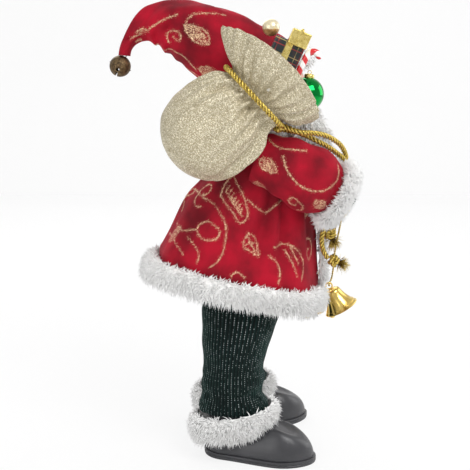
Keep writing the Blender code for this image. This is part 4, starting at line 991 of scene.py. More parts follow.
@dataclass(frozen=True)
class StripeFinish:
    """Red and white stripes that wind round a stick, laid by its UV map."""

    name: str = "candy_plastic"
    red: Colour = (0.62, 0.012, 0.016)
    white: Colour = (0.86, 0.84, 0.82)
    turns: float = 5.0

    def make(self) -> Material:
        """Build the material."""
        recipe = Recipe(self.name, self.white, 0.22)
        recipe.set(**{"Coat Weight": 0.5, "Coat Roughness": 0.08})
        around, along, _ = recipe.axes(recipe.place("UV"))
        wind = recipe.math("ADD", around, recipe.times(along, self.turns))
        wave = recipe.math("SINE", recipe.times(wind, 2 * pi))
        recipe.colour(recipe.blend(recipe.range(wave, -0.12, 0.12), self.white, self.red))
        recipe.bump(recipe.noise(300.0, 2.0), 0.0001, 0.3)
        return recipe.material


@dataclass(frozen=True)
class LowerDarkFinish:
    """A pearl ball whose lower half is darker, below a set height."""

    name: str = "gold_pearl"
    upper: Colour = (0.80, 0.70, 0.48)
    lower: Colour = (0.45, 0.24, 0.10)
    height: float = 0.4215

    def make(self) -> Material:
        """Build the material."""
        recipe = Recipe(self.name, self.upper, 0.3, 0.55)
        low = recipe.range(recipe.axes(recipe.place())[2], self.height + 0.0004, self.height - 0.0004)
        recipe.colour(recipe.blend(low, self.upper, self.lower))
        recipe.bump(recipe.noise(500.0, 2.0), 0.0001, 0.4)
        return recipe.material


@dataclass(frozen=True)
class CordFinish:
    """Metallic thread laid in strands, painted dark in the grooves as shade, with painted glints on the
    thread.
    """

    name: str = "gold_cord"
    bright: Colour = (0.95, 0.72, 0.17)
    # The colour of the painted shade in the grooves and at the frays' roots.
    deep: Colour = (0.16, 0.09, 0.012)

    def make(self) -> Material:
        """Build the material."""
        recipe = Recipe(self.name, self.bright, 0.34, 0.85)
        flakes = recipe.group(GLITTER, Scale=1300.0)
        crest = recipe.attribute("crest")
        tip = recipe.attribute("tip")
        # Painted shade: dark in the grooves and at the frays' roots, lighter on the strands' crests and the
        # frays' tips.
        high = recipe.range(recipe.math("MAXIMUM", crest, tip), 0.30, 0.80)
        glint = recipe.range(flakes.outputs["Flake"], 0.1, 0.6, 0.35, 1.0)
        thread = recipe.blend(glint, self.deep, self.bright)
        recipe.colour(recipe.blend(high, self.deep, thread))
        recipe.feed("Roughness", recipe.range(flakes.outputs["Relief"], 0.0, 1.0, 0.22, 0.5))
        recipe.bump(flakes.outputs["Relief"], 0.0004, 0.8)
        return recipe.material


VELVET = VelvetFinish().make()
# The fur's and hair's root colours are painted shade, darker than their tips.
FUR = PileFinish("white_fur", (0.93, 0.925, 0.915), (1.0, 0.995, 0.985)).make()
HAIR = PileFinish("white_hair", (0.88, 0.87, 0.85), (1.0, 0.995, 0.98), 0.55).make()
SACK_CLOTH = MetalClothFinish().make()
TROUSER_CLOTH = RibFinish().make()
BRASS = MetalFinish("bright_brass", (0.86, 0.63, 0.19), (0.70, 0.47, 0.12), 0.16).make()
OLD_BRASS = MetalFinish("antique_brass", (0.20, 0.135, 0.07), (0.06, 0.04, 0.025), 0.42, 400.0).make()
FOIL = MetalFinish("gold_foil", (0.90, 0.73, 0.26), (0.62, 0.46, 0.12), 0.24, 330.0, 0.0008).make()
BOOT_PLASTIC = MouldedFinish("boot_plastic", (0.032, 0.032, 0.036), (0.046, 0.046, 0.051), 0.36, 0.12).make()
MITTEN_FELT = MouldedFinish("mitten_felt", (0.008, 0.032, 0.026), (0.014, 0.048, 0.038), 0.95, 0.0, 900.0,
                            0.0006).make()
WADDING = MouldedFinish("wadding", (0.72, 0.70, 0.65), (0.80, 0.79, 0.75), 0.95, 0.0, 400.0, 0.0012).make()
GREEN_GLASS = MetalFinish("green_glass", (0.006, 0.30, 0.05), (0.005, 0.22, 0.04), 0.10, 60.0, 0.00002).make()
EYE_WHITE = MouldedFinish("eye_white", (0.85, 0.84, 0.82), (0.80, 0.78, 0.76), 0.12, 0.6, 200.0,
                          0.00002).make()
EYE_BLUE = MouldedFinish("eye_blue", (0.05, 0.13, 0.26), (0.09, 0.20, 0.36), 0.12, 0.6, 900.0, 0.00002).make()
EYE_BLACK = MouldedFinish("eye_black", (0.006, 0.006, 0.006), (0.008, 0.008, 0.008), 0.08, 0.6, 200.0,
                          0.00002).make()
FACE = FaceFinish().make()
CHECK_PAPER = CheckFinish().make()
CANDY = StripeFinish().make()
PEARL = LowerDarkFinish().make()
CORD_GOLD = CordFinish().make()


def dress(piece: Piece, material: Material) -> None:
    """Give a piece one material, all over."""
    piece.data.materials.clear()
    piece.data.materials.append(material)


def fit(piece: Piece, material: Material, nodes: Sequence[str] = (), body: Body = Body.FIGURE,
        slot: Optional[Slot] = None) -> Piece:
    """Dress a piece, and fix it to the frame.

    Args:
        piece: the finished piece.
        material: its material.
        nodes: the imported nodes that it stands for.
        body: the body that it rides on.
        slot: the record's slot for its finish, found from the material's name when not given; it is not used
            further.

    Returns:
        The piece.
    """
    dress(piece, material)
    if nodes:
        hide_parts(*nodes)
    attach(piece, body.value)
    slot = slot or Slot(material.name.partition(".")[0])
    log.info("%s: %d faces", piece.name, len(piece.data.polygons))
    return piece


def fur(count: int, length: float, lay: Sequence[float], seed: int, droop: float = 0.2,
        stray: float = 0.36) -> Pile:
    """The white fur's pile: its hairs, their length and lay, their droop and how far they stray."""
    return Pile(count, length, FUR_RADIUS, 2, tuple(lay), droop, stray, 0.6, seed=seed)


def pelt(name: str, node: str, skin: tuple[float, int, float], pile: Pile, keep: Optional[HairTest] = None,
         material: Material = FUR) -> None:
    """Build a pelt: a node's rounded copy, drawn in to make room, with hairs grown out of it.

    Args:
        name: the piece's name.
        node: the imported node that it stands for.
        skin: the skin's face size, its rounds of smoothing, and how far it is drawn in.
        pile: the hairs.
        keep: tells which hairs are kept.
        material: the pelt's material.
    """
    voxel, rounds, inset = skin
    under = soften(copy_of(name, node), voxel, rounds)
    apply_modifier(under, "DISPLACE", strength=-inset, mid_level=0.0)
    fit(pile.grow(under, keep), material, [node])


def keep_node(node: str, material: Material) -> None:
    """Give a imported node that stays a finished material."""
    dress(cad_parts[node], material)


# Gold scrollwork


class Scrollwork:
    """Scrolls and leaves drawn on a surface, kept as closely spaced points."""

    def __init__(self, surface: Surface, around: float, along: float) -> None:
        """Keep the surface and its size round and along, in metres."""
        self.surface = surface
        self.around = around
        self.along = along
        self.points: list[Vector] = []

    def stroke(self, marks: Sequence[tuple[float, float]]) -> None:
        """Draw a smooth stroke through places given as an angle in degrees and t."""
        steps = max(8, 14 * len(marks))
        columns = ([radians(a) for a, _ in marks], [t for _, t in marks])
        places = [self.surface(*(smooth_value(c, i / steps) for c in columns)) for i in range(steps + 1)]
        for a, b in zip(places, places[1:]):
            count = max(1, int((b - a).length / GOLD_STEP))
            self.points += [a.lerp(b, k / count) for k in range(count)]

    def local(self, angle: float, t: float, turn: float, marks: Sequence[tuple[float, float]]) -> None:
        """Draw a stroke given in millimetres round a place, turned by an angle in degrees."""
        c, s = cos(radians(turn)), sin(radians(turn))
        places = []
        for x, y in marks:
            across, up = (x * c - y * s) / 1000, (x * s + y * c) / 1000
            places.append((angle + degrees(2 * pi * across / self.around), t + up / self.along))
        self.stroke([(a, min(max(v, 0.0), 1.0)) for a, v in places])

    def curl(self, angle: float, t: float, size: float, turn: float, hand: int = 1) -> None:
        """Draw a scroll: a long arc that winds into a small loop."""
        marks = []
        for i in range(15):
            share = i / 14
            sweep = radians(400 * share)
            radius = size * (1 - 0.72 * share)
            marks.append((hand * (radius * cos(sweep) - size * 0.3 * share), radius * sin(sweep)))
        self.local(angle, t, turn, marks)

    def leaf(self, angle: float, t: float, length: float, turn: float, veins: int = 5) -> None:
        """Draw a pointed leaf with a midrib and hatched veins."""
        for side in (-1, 1):
            edge = [(side * length * 0.30 * sin(pi * (i / 6) ** 0.85), length * i / 6) for i in range(7)]
            self.local(angle, t, turn, edge)
        self.local(angle, t, turn, [(0, 0), (0.4, length * 0.5), (0, length * 0.98)])
        for i in range(veins):
            foot = length * (0.15 + 0.62 * i / veins)
            reach = length * 0.22 * sin(pi * (foot / length) ** 0.85)
            for side in (-1, 1):
                self.local(angle, t, turn, [(0, foot), (side * reach * 0.6, foot + reach * 0.5),
                                            (side * reach, foot + reach * 1.1)])

    def seen(self, marks: Sequence[tuple[float, float]], side: int = -1) -> None:
        """Draw a stroke through places given by their y and z in millimetres on one flank."""
        places = []
        angle, t = side * QUARTER, 0.4
        for y, z in marks:
            for _ in range(12):
                here = self.surface(angle, t)
                turn = (self.surface(angle + 0.01, t) - here) / 0.01
                rise = (self.surface(angle, min(t + 0.01, 1.0)) - here) / max(min(t + 0.01, 1.0) - t, 0.001)
                miss_y, miss_z = y / 1000 + MIDDLE.y - here.y, z / 1000 - here.z
                scale = turn.y * rise.z - turn.z * rise.y
                if abs(scale) < 1e-6:
                    break
                angle += min(max((miss_y * rise.z - miss_z * rise.y) / scale, -0.2), 0.2)
                t = min(max(t + min(max((turn.y * miss_z - turn.z * miss_y) / scale, -0.1), 0.1), 0.0), 0.98)
            places.append((degrees(angle), t))
        self.stroke(places)

    def paint(self, skin: Piece) -> None:
        """Write each point's distance to the nearest stroke into the skin's gold attribute."""
        tree = kdtree.KDTree(len(self.points))
        for index, point in enumerate(self.points):
            tree.insert(point, index)
        tree.balance()
        away = [min(tree.find(v.co)[2], GOLD_REACH) for v in skin.data.vertices]
        skin.data.attributes.new("gold", "FLOAT", "POINT").data.foreach_set("value", away)


# Studio


@dataclass
class Studio:
    """The camera, the lamps, and the pale floor and backdrop."""

    place: Vector = field(default_factory=lambda: Vector((-0.900, 0.0, 0.390)) + MIDDLE)
    aim: Vector = field(default_factory=lambda: Vector((0.0, 0.0, 0.219)) + MIDDLE)
    lens: float = SENSOR * FOCAL_PIXELS / PHOTO_PIXELS
    floor_size: float = 6.0
    ambient: float = 0.66
    glow: float = 0.82

    def make(self) -> None:
        """Set up everything that isn't part of the object."""
        self._camera()
        self._world()
        self._floor()
        for name, place, size, power in (
                ("key", (-1.1, -0.8, 1.5), 0.9, 17.0), ("fill", (-1.3, 1.0, 0.6), 1.2, 6.5),
                ("back", (1.2, 0.3, 1.2), 1.2, 8.0), ("front", (0.5, -1.5, 0.7), 1.0, 6.0)):
            self._lamp(name, Vector(place), size, power)
        bpy.context.scene.view_settings.view_transform = "Standard"

    def _camera(self) -> None:
        """The camera at the photograph's angle."""
        data = bpy.data.cameras.new("camera")
        data.sensor_width = SENSOR
        data.lens = self.lens
        data.clip_start = 0.01
        camera = new_object("camera", data)
        camera.location = self.place
        camera.rotation_euler = (self.aim - self.place).to_track_quat("-Z", "Y").to_euler()
        bpy.context.scene.camera = camera

    def _world(self) -> None:
        """White behind everything, and a plainer level as light."""
        world = bpy.data.worlds.new("studio")
        bpy.context.scene.world = world
        world.use_nodes = True
        tree = world.node_tree
        background = tree.nodes["Background"]
        background.inputs["Color"].default_value = (1, 1, 1, 1)
        rays = tree.nodes.new("ShaderNodeLightPath")
        seen = tree.nodes.new("ShaderNodeMath")
        seen.operation = "MAXIMUM"
        level = tree.nodes.new("ShaderNodeMapRange")
        level.inputs["To Min"].default_value = self.ambient
        level.inputs["To Max"].default_value = 1.0
        join_sockets(tree, (rays.outputs["Is Camera Ray"], seen.inputs[0]),
                     (rays.outputs["Is Transmission Ray"], seen.inputs[1]),
                     (seen.outputs[0], level.inputs["Value"]),
                     (level.outputs["Result"], background.inputs["Strength"]))

    def _floor(self) -> None:
        """The floor and the backdrop, nearly white to the camera."""
        recipe = Recipe("studio_floor", (0.86, 0.86, 0.86), 0.9)
        tree = recipe.tree
        glow = tree.nodes.new("ShaderNodeEmission")
        glow.inputs["Strength"].default_value = 1.0
        rays = tree.nodes.new("ShaderNodeLightPath")
        share = recipe.times(rays.outputs["Is Camera Ray"], self.glow)
        mix = tree.nodes.new("ShaderNodeMixShader")
        join_sockets(tree, (share, mix.inputs["Fac"]), (recipe.shader.outputs[0], mix.inputs[1]),
                     (glow.outputs[0], mix.inputs[2]),
                     (mix.outputs[0], tree.nodes["Material Output"].inputs["Surface"]))
        for name, place, turn in (("floor", (0, 0, 0), (0, 0, 0)),
                                  ("backdrop", (1.8, 0, 1.0), (0, QUARTER, 0))):
            plane = added(bpy.ops.mesh.primitive_plane_add, name,
                          size=self.floor_size, location=place, rotation=turn)
            dress(plane, recipe.material)

    def _lamp(self, name: str, place: Vector, size: float, power: float) -> None:
        """A soft square lamp that faces the figure."""
        data = bpy.data.lights.new(name, "AREA")
        data.size = size
        data.energy = power
        lamp = new_object(name, data)
        lamp.location = place
        lamp.rotation_euler = (Vector((0, 0, 0.22)) - place).to_track_quat("-Z", "Y").to_euler()


# Cords


@dataclass
class Cords:
    """The gold cord with its knotted ends, and the thin cord of the bells."""

    diameter: float = 0.0052
    thin: float = 0.0022
    neck: Section = Section(-0.0715, -0.0173, 0.3609, 0.0305, 0.0200, radians(48.3))
    ease: float = 0.0038

    def make(self) -> None:
        """Build both cords and the ends."""
        points = [Vector(p) + MIDDLE for p in self._route()]
        path = smooth_path(points, 460)
        cord = twisted_cord("gold_cord", path, self.diameter, 3, 0.0115, 9)
        fit(cord, CORD_GOLD, ["sack_cord"])
        ends = [self._end("first_knot", "first_cord_end", path[0], Vector((0, -0.93, -0.37)), 3),
                self._end("second_knot", "second_cord_end", path[-1], Vector((-0.10, -0.35, -0.93)), 4)]
        thin_path = smooth_path([p + MIDDLE for p in self._thin_route()], 240)
        thin = twisted_cord("bell_string", thin_path, self.thin, 2, 0.0050, 6)
        fit(thin, CORD_GOLD, ["bell_cord"])

    def _wrap(self) -> list[Vector]:
        """The turn round the sack's neck."""
        up = Vector((0, -sin(self.neck.tilt), cos(self.neck.tilt)))
        points = []
        for i in range(15):
            angle = 0.10 + 2 * pi * i / 14
            lift = (i / 14 - 0.5) * (self.diameter + 0.0006) - 0.0008
            points.append(self.neck.point(angle, self.diameter / 2 + self.ease) - MIDDLE + up * lift)
        return points

    def _route(self) -> list[Vector]:
        """The gold cord's route: a tail, the hand, round the sack's neck, the hand, a tail."""
        tail = [(-0.0300, -0.0925, 0.2010), (-0.0300, -0.0880, 0.2080), (-0.0300, -0.0858, 0.2180),
                (-0.0285, -0.0875, 0.2290), (-0.0235, -0.0965, 0.2390), (-0.0180, -0.1045, 0.2460),
                (-0.0160, -0.1070, 0.2520)]
        up = [(-0.0160, -0.1070, 0.2760), (-0.0170, -0.1085, 0.2870), (-0.0230, -0.1090, 0.3000),
              (-0.0340, -0.1040, 0.3110), (-0.0450, -0.0955, 0.3190), (-0.0540, -0.0840, 0.3250),
              (-0.0620, -0.0720, 0.3275), (-0.0700, -0.0600, 0.3290)]
        down = [(-0.0520, -0.0440, 0.3300), (-0.0480, -0.0560, 0.3280), (-0.0500, -0.0680, 0.3240),
                (-0.0510, -0.0780, 0.3190), (-0.0450, -0.0890, 0.3130), (-0.0350, -0.1000, 0.3050),
                (-0.0240, -0.1100, 0.2960), (-0.0170, -0.1140, 0.2860), (-0.0160, -0.1132, 0.2760)]
        second = [(-0.0160, -0.1132, 0.2520), (-0.0175, -0.1085, 0.2430), (-0.0200, -0.0985, 0.2360),
                  (-0.0210, -0.0930, 0.2300)]
        return [Vector(p) for p in tail + up] + self._wrap()[::-1] + [Vector(p) for p in down + second]

    def _thin_route(self) -> list[Vector]:
        """The bells' cord: up from one, doubled through the hand, and down to the other."""
        drop = 0.0012
        front = Vector((0.022, -0.0995, 0.1600 + drop))
        side = Vector((0.057, -0.0800, 0.1505 + drop))
        x, y, z, radius, half = 0.0170, -0.1100, 0.2620, 0.0115, 0.0017
        low, high = z - radius, z + radius
        rise = ((-0.0035, 0, 0), (0, 0, 0), (0.0035, -0.0006, 0.0004), (0.0070, -0.0034, 0.0055),
                (0.0075, -0.0050, 0.0160))
        hand = ((0.0265, -0.1060, 0.2000), (0.0215, -0.1095, 0.2230), (x, y - half, low - 0.008),
                (x, y - half, low), (x, y - half, z), (x, y - half, high), (x, y - half, high + 0.003),
                (x, y, high + 0.005), (x, y + half, high + 0.003), (x, y + half, high), (x, y + half, z),
                (x, y + half, low), (x + 0.001, y + half, low - 0.008), (0.0270, -0.1060, 0.2230),
                (0.0390, -0.1020, 0.2000), (0.0480, -0.0955, 0.1750))
        fall = ((-0.0075, -0.0045, 0.0080), (-0.0042, 0, 0.0006), (0, 0, 0), (0.0035, 0, 0))
        return [start + Vector(p) for start, part in ((front, rise), (Vector(), hand), (side, fall))
                for p in part]

    def _end(self, name: str, node: str, start: Vector, direction: Vector, seed: int) -> Piece:
        """A knot of the cord, and the frayed threads below it."""
        direction = direction.normalized()
        side = direction.orthogonal().normalized()
        other = direction.cross(side)
        knot_path = []
        for i in range(64):
            a = 2 * pi * i / 63
            wide = 0.0036 + 0.0012 * cos(3 * a)
            centre = start + direction * (0.0062 + 0.0030 * sin(3 * a))
            knot_path.append(centre + side * wide * cos(2 * a) + other * wide * sin(2 * a))
        knot = twisted_cord(name, knot_path, 0.0046, 3, 0.0110, 6)
        core = ball(name + "_core", start + direction * 0.012, (0.0022, 0.0022, 0.0022), segments=12)
        pile = Pile(150, 0.0115, 0.00032, 3, tuple(direction * 1.5), 0.10, 0.28, 0.1, 0.0006, 1.5, seed)
        fray = pile.grow(core)
        return fit(join_all(name, [knot, fray]), CORD_GOLD, [node])


# Coat


@dataclass
class Coat:
    """The velvet coat with its fur hem, front band and collar."""

    wall: float = 0.0018
    fold_count: int = 7
    fold_depth: float = 0.0028
    lift: float = 0.003
    tuck: float = 0.009
    form: Form = field(default_factory=lambda: form_of((
        (-0.003, 0.1885, 0.0835, 0.076, 11.2), (-0.010, 0.216, 0.0745, 0.0655, 11.2),
        (-0.017, 0.245, 0.066, 0.060, 12), (-0.024, 0.272, 0.054, 0.053, 10),
        (-0.029, 0.300, 0.040, 0.050, 8), (-0.033, 0.319, 0.029, 0.037, 8),
        (-0.036, 0.328, 0.020, 0.023, 8),
    )))
    creases: tuple[Crease, ...] = crease_rows((
        (-84, 0.12, -74, 0.58, 0.0062, 0.0070), (-58, 0.06, -66, 0.54, 0.0058, 0.0062),
        (-71, 0.02, -69, 0.42, -0.0036, 0.0065), (-108, 0.16, -92, 0.62, 0.0034, 0.0080),
        (-135, 0.05, -120, 0.60, 0.0020, 0.0080), (84, 0.10, 76, 0.56, 0.0056, 0.0070),
        (62, 0.06, 66, 0.50, 0.0046, 0.0062), (112, 0.05, 98, 0.60, 0.0036, 0.0080),
        (150, 0.05, 160, 0.62, 0.0024, 0.0080), (180, 0.05, 186, 0.55, -0.0022, 0.0080),
        (-30, 0.10, -36, 0.55, 0.0022, 0.0060), (34, 0.10, 38, 0.55, 0.0022, 0.0060),
    ))

    def surface(self, angle: float, t: float) -> Vector:
        """A point on the coat's outside: t is 0 at the hem and 1 at the neck."""
        fade = max(0.0, 1.0 - 1.6 * t) ** 1.5
        out = self.fold_depth * fade * sin(self.fold_count * angle + 0.8) * (1 - 0.5 * cos(angle) ** 8)
        section = self.form.at(t)
        calm = sin(pi * min(1.0, t * 1.25 + 0.08)) if t < 0.74 else 0.15
        out -= calm * sum(crease.sink(angle, t) for crease in self.creases)
        point = section.point(angle, out)
        soft = noise.noise(Vector((point.x * 26, point.y * 26, point.z * 9))) * 0.0022
        soft += noise.noise(Vector((point.x * 90, point.y * 90, point.z * 45))) * 0.0007
        point = section.point(angle, out + soft * (0.35 + 0.65 * calm))
        point.z += self.lift * fade * sin(angle) ** 2 - self.tuck * max(0.0, 1 - t / 0.015)
        return point

    def make(self) -> None:
        """Build the coat, its scrollwork and its fur."""
        cloth = wrap("coat_cloth", self.surface, 400, 104, filled=False)
        apply_modifier(cloth, "SOLIDIFY", thickness=self.wall, offset=-1.0)
        cloth.data.shade_smooth()
        self._scrolls().paint(cloth)
        fit(cloth, VELVET, ["coat"])
        rubbed = (MIDDLE + Vector((0.057, -0.0735, 0.1380)), 0.0190)
        pile = Pile(16500, 0.0085, 0.00068, 2, (0.0, 0.0, -0.75), 0.2, 0.32, 0.5, seed=11, worn=rubbed)
        pelt("hem_pelt", "hem_fur", (0.0026, 8, 0.0038), pile, round_axis(inner=0.4))
        pelt("front_pelt", "front_fur", (0.0022, 5, 0.0030), fur(4600, 0.0088, (0.0, 0.0, -0.45), 12),
             round_axis())
        pelt("collar_pelt", "collar", (0.0020, 5, 0.0022), fur(3600, 0.0080, (0.0, 0.0, -0.20), 13),
             round_axis(y=MIDDLE.y - 0.036))
        keep_node("body", WADDING)

    def _scrolls(self) -> Scrollwork:
        """The coat's gold pattern: flowing scrolls low down and leaves above them."""
        work = Scrollwork(self.surface, 0.42, 0.150)
        for side in (-1, 1):
            work.seen([(51, 257), (47, 265), (40, 268), (31, 263), (21, 258), (13, 248), (9, 238), (9, 226),
                       (12, 214), (17, 206), (24, 201)], side)
            work.seen([(14, 233), (19, 238), (27, 241), (34, 238), (37, 232), (33, 226), (26, 224), (18, 226),
                       (14, 233)], side)
            work.seen([(58, 235), (52, 231), (45, 232), (37, 233)], side)
            work.seen([(66, 223), (61, 222), (55, 215), (50, 209)], side)
            work.seen([(46, 225), (39, 218), (35, 211), (36, 204)], side)
            work.seen([(4, 194), (0, 197), (-5, 196), (-10, 191)], side)
            work.seen([(-33, 210), (-39, 205), (-43, 196), (-42, 184)], side)
            work.seen([(-38, 218), (-46, 220), (-55, 218), (-62, 211), (-67, 199), (-65, 184)], side)
            work.seen([(-48, 214), (-54, 205), (-58, 196), (-60, 188)], side)
            work.seen([(-54, 216), (-58, 208), (-62, 200)], side)
            work.seen([(14, 266), (3, 253), (-3, 243), (-8, 243), (-12, 249), (-11, 258), (-7, 269),
                       (-2, 278), (2, 285), (9, 278), (14, 266)], side)
            for k in range(7):
                work.seen([(9 - 2.2 * k, 270 - 3.2 * k), (5 - 2.0 * k, 276 - 3.4 * k)], side)
                work.seen([(9 - 2.2 * k, 270 - 3.2 * k), (2 - 1.5 * k, 264 - 2.6 * k)], side)
            work.seen([(-13, 233), (-19, 228), (-21, 220), (-22, 211), (-15, 215), (-8, 221), (-10, 228),
                       (-13, 233)], side)
            work.seen([(-13, 229), (-15, 222), (-20, 214)], side)
            work.seen([(-11, 222), (-15, 224), (-18, 222)], side)
            work.seen([(-12, 264), (-21, 256), (-30, 251), (-38, 257), (-44, 262)], side)
        work.curl(180, 0.22, 17, 20)
        work.curl(215, 0.40, 13, 120, -1)
        work.curl(150, 0.38, 13, 40)
        work.leaf(180, 0.48, 26, 8)
        work.leaf(200, 0.10, 18, -40)
        work.leaf(158, 0.08, 18, 35)
        for side in (-1, 1):
            work.curl(side * 28, 0.20, 10, 70 * side, side)
            work.leaf(side * 34, 0.38, 22, 14 * side)
            work.leaf(side * 26, 0.62, 14, -10 * side)
            work.leaf(side * 120, 0.62, 22, 15 * side)
        return work


# Legs


@dataclass
class Legs:
    """The ribbed trouser legs, the fur cuffs and the moulded boots."""

    stance: float = 0.040
    toe_out: float = radians(15)
    shaft_top: float = 0.0485
    leg_top: float = 0.178
    boot_length: float = 0.112
    boot_width: float = 0.052
    heel: float = 0.030
    toe_height: float = 0.037
    sole: float = 0.006
    form: Form = field(default_factory=lambda: form_of((
        (0.001, 0.0488, 0.035, 0.0275, 0), (0.002, 0.070, 0.0315, 0.0275, 0),
        (0.0015, 0.095, 0.0305, 0.0275, 0), (-0.002, 0.123, 0.0345, 0.0295, 0),
        (-0.006, 0.151, 0.039, 0.0285, 0), (-0.007, 0.178, 0.039, 0.0285, 0),
    )))

    def make(self) -> None:
        """Build both legs."""
        for name, side in SIDES:
            cloth = wrap(name + "_trousers", self._leg(side), 150, 120)
            fit(cloth, TROUSER_CLOTH, [name + "_trouser_leg"])
            pelt(name + "_ankle_pelt", name + "_boot_cuff", (0.0022, 6, 0.0028),
                 fur(7000, 0.0088, (0.0, 0.0, -0.45), 21 + side), round_axis(MIDDLE.x + side * self.stance))
            fit(self._boot(name, side), BOOT_PLASTIC, [name + "_boot"])

    def _leg(self, side: int) -> Surface:
        """A trouser leg's outside, with crumples above the boot."""
        def surface(angle: float, t: float) -> Vector:
            """A point on the leg: t is 0 at the ankle and 1 at the hip."""
            fold = 0.0018 * sin(t * 26) * exp(-((t - 0.18) / 0.16) ** 2) * (1 + 0.6 * cos(angle))
            spot = Vector((cos(angle), sin(angle), t * 5 + side))
            low = 0.0018 * exp(-((t - 0.16) / 0.20) ** 2)
            crumple = noise.noise(spot * Vector((1.6, 1.6, 2.4)).length)
            fold += low * crumple + 0.0012 * noise.noise(spot * 1.3)
            return self.form.at(t).point(angle, fold) + Vector((side * self.stance, 0, 0))

        return surface

    def _half_width(self, u: float) -> float:
        """A boot's half width: u is 0 at the heel and 1 at the toe."""
        heel = sqrt(max(0.0, 1 - ((0.20 - u) / 0.20) ** 2)) if u < 0.20 else 1.0
        toe = sqrt(max(0.0, 1 - ((u - 0.66) / 0.34) ** 2)) if u > 0.66 else 1.0
        swell = 0.80 + 0.20 * sin(pi * (u - 0.15) / 1.15) ** 2
        return self.boot_width / 2 * min(heel, toe) * swell

    def _outline(self, place: Matrix, angle: float, out: float, height: float) -> Vector:
        """A point on the boot's outline at a height."""
        u = 0.5 - 0.5 * cos(angle)
        flank = 1 if angle <= pi else -1
        reach = flank * (self._half_width(u) + out * sin(pi * u))
        return place @ Vector((reach, self.heel - u * self.boot_length + out * cos(pi * u), height))

    def _boot(self, name: str, side: int) -> Piece:
        """A moulded boot: a sole with a welt, a round toe and a short shaft."""
        place = Matrix.Translation(MIDDLE + Vector((side * self.stance, 0, 0))) @ Matrix.Rotation(
            side * self.toe_out, 4, "Z")

        def upper(angle: float, t: float) -> Vector:
            """A point on the upper: t is 0 at the welt and 1 at the top."""
            u = 0.5 - 0.5 * cos(angle)
            toe = self.toe_height * (1.0 - 0.22 * max(0.0, (u - 0.75) / 0.25) ** 2)
            bend = t * QUARTER
            inset = -0.0004 - 0.0215 * (1 - cos(bend))
            return self._outline(place, angle, inset, self.sole + (toe - self.sole) * sin(bend) - 0.0012)

        def sole(angle: float, t: float) -> Vector:
            """A point on the sole's edge and welt: t runs from underneath to the top."""
            steps = ((-0.004, 0.0), (0.0002, 0.0), (0.0012, 0.0006), (0.0015, 0.0022), (0.0008, 0.0029),
                     (0.0015, 0.0036), (0.0015, 0.0052), (0.0008, 0.0060), (-0.004, 0.0060))
            out = smooth_value([s[0] for s in steps], t)
            height = max(0.0, smooth_value([s[1] for s in steps], t))
            return self._outline(place, angle, out, height)

        body = wrap(name + "_upper", upper, 96, 26)
        shaft = turned(name + "_shaft", [(0.0, self.shaft_top - 0.0005), (0.0205, self.shaft_top - 0.0005),
                                         (0.0218, self.shaft_top - 0.002), (0.0218, 0.012), (0.0, 0.012)],
                       place @ Matrix.Diagonal((1.0, 1.22, 1.0, 1.0)), 48)
        upper_piece = soften(join_all(name + "_upper", [body, shaft]), 0.0013, 8)
        edge = wrap(name + "_sole", sole, 120, 40)
        return join_all(name + "_moulding", [upper_piece, edge])


# Arms


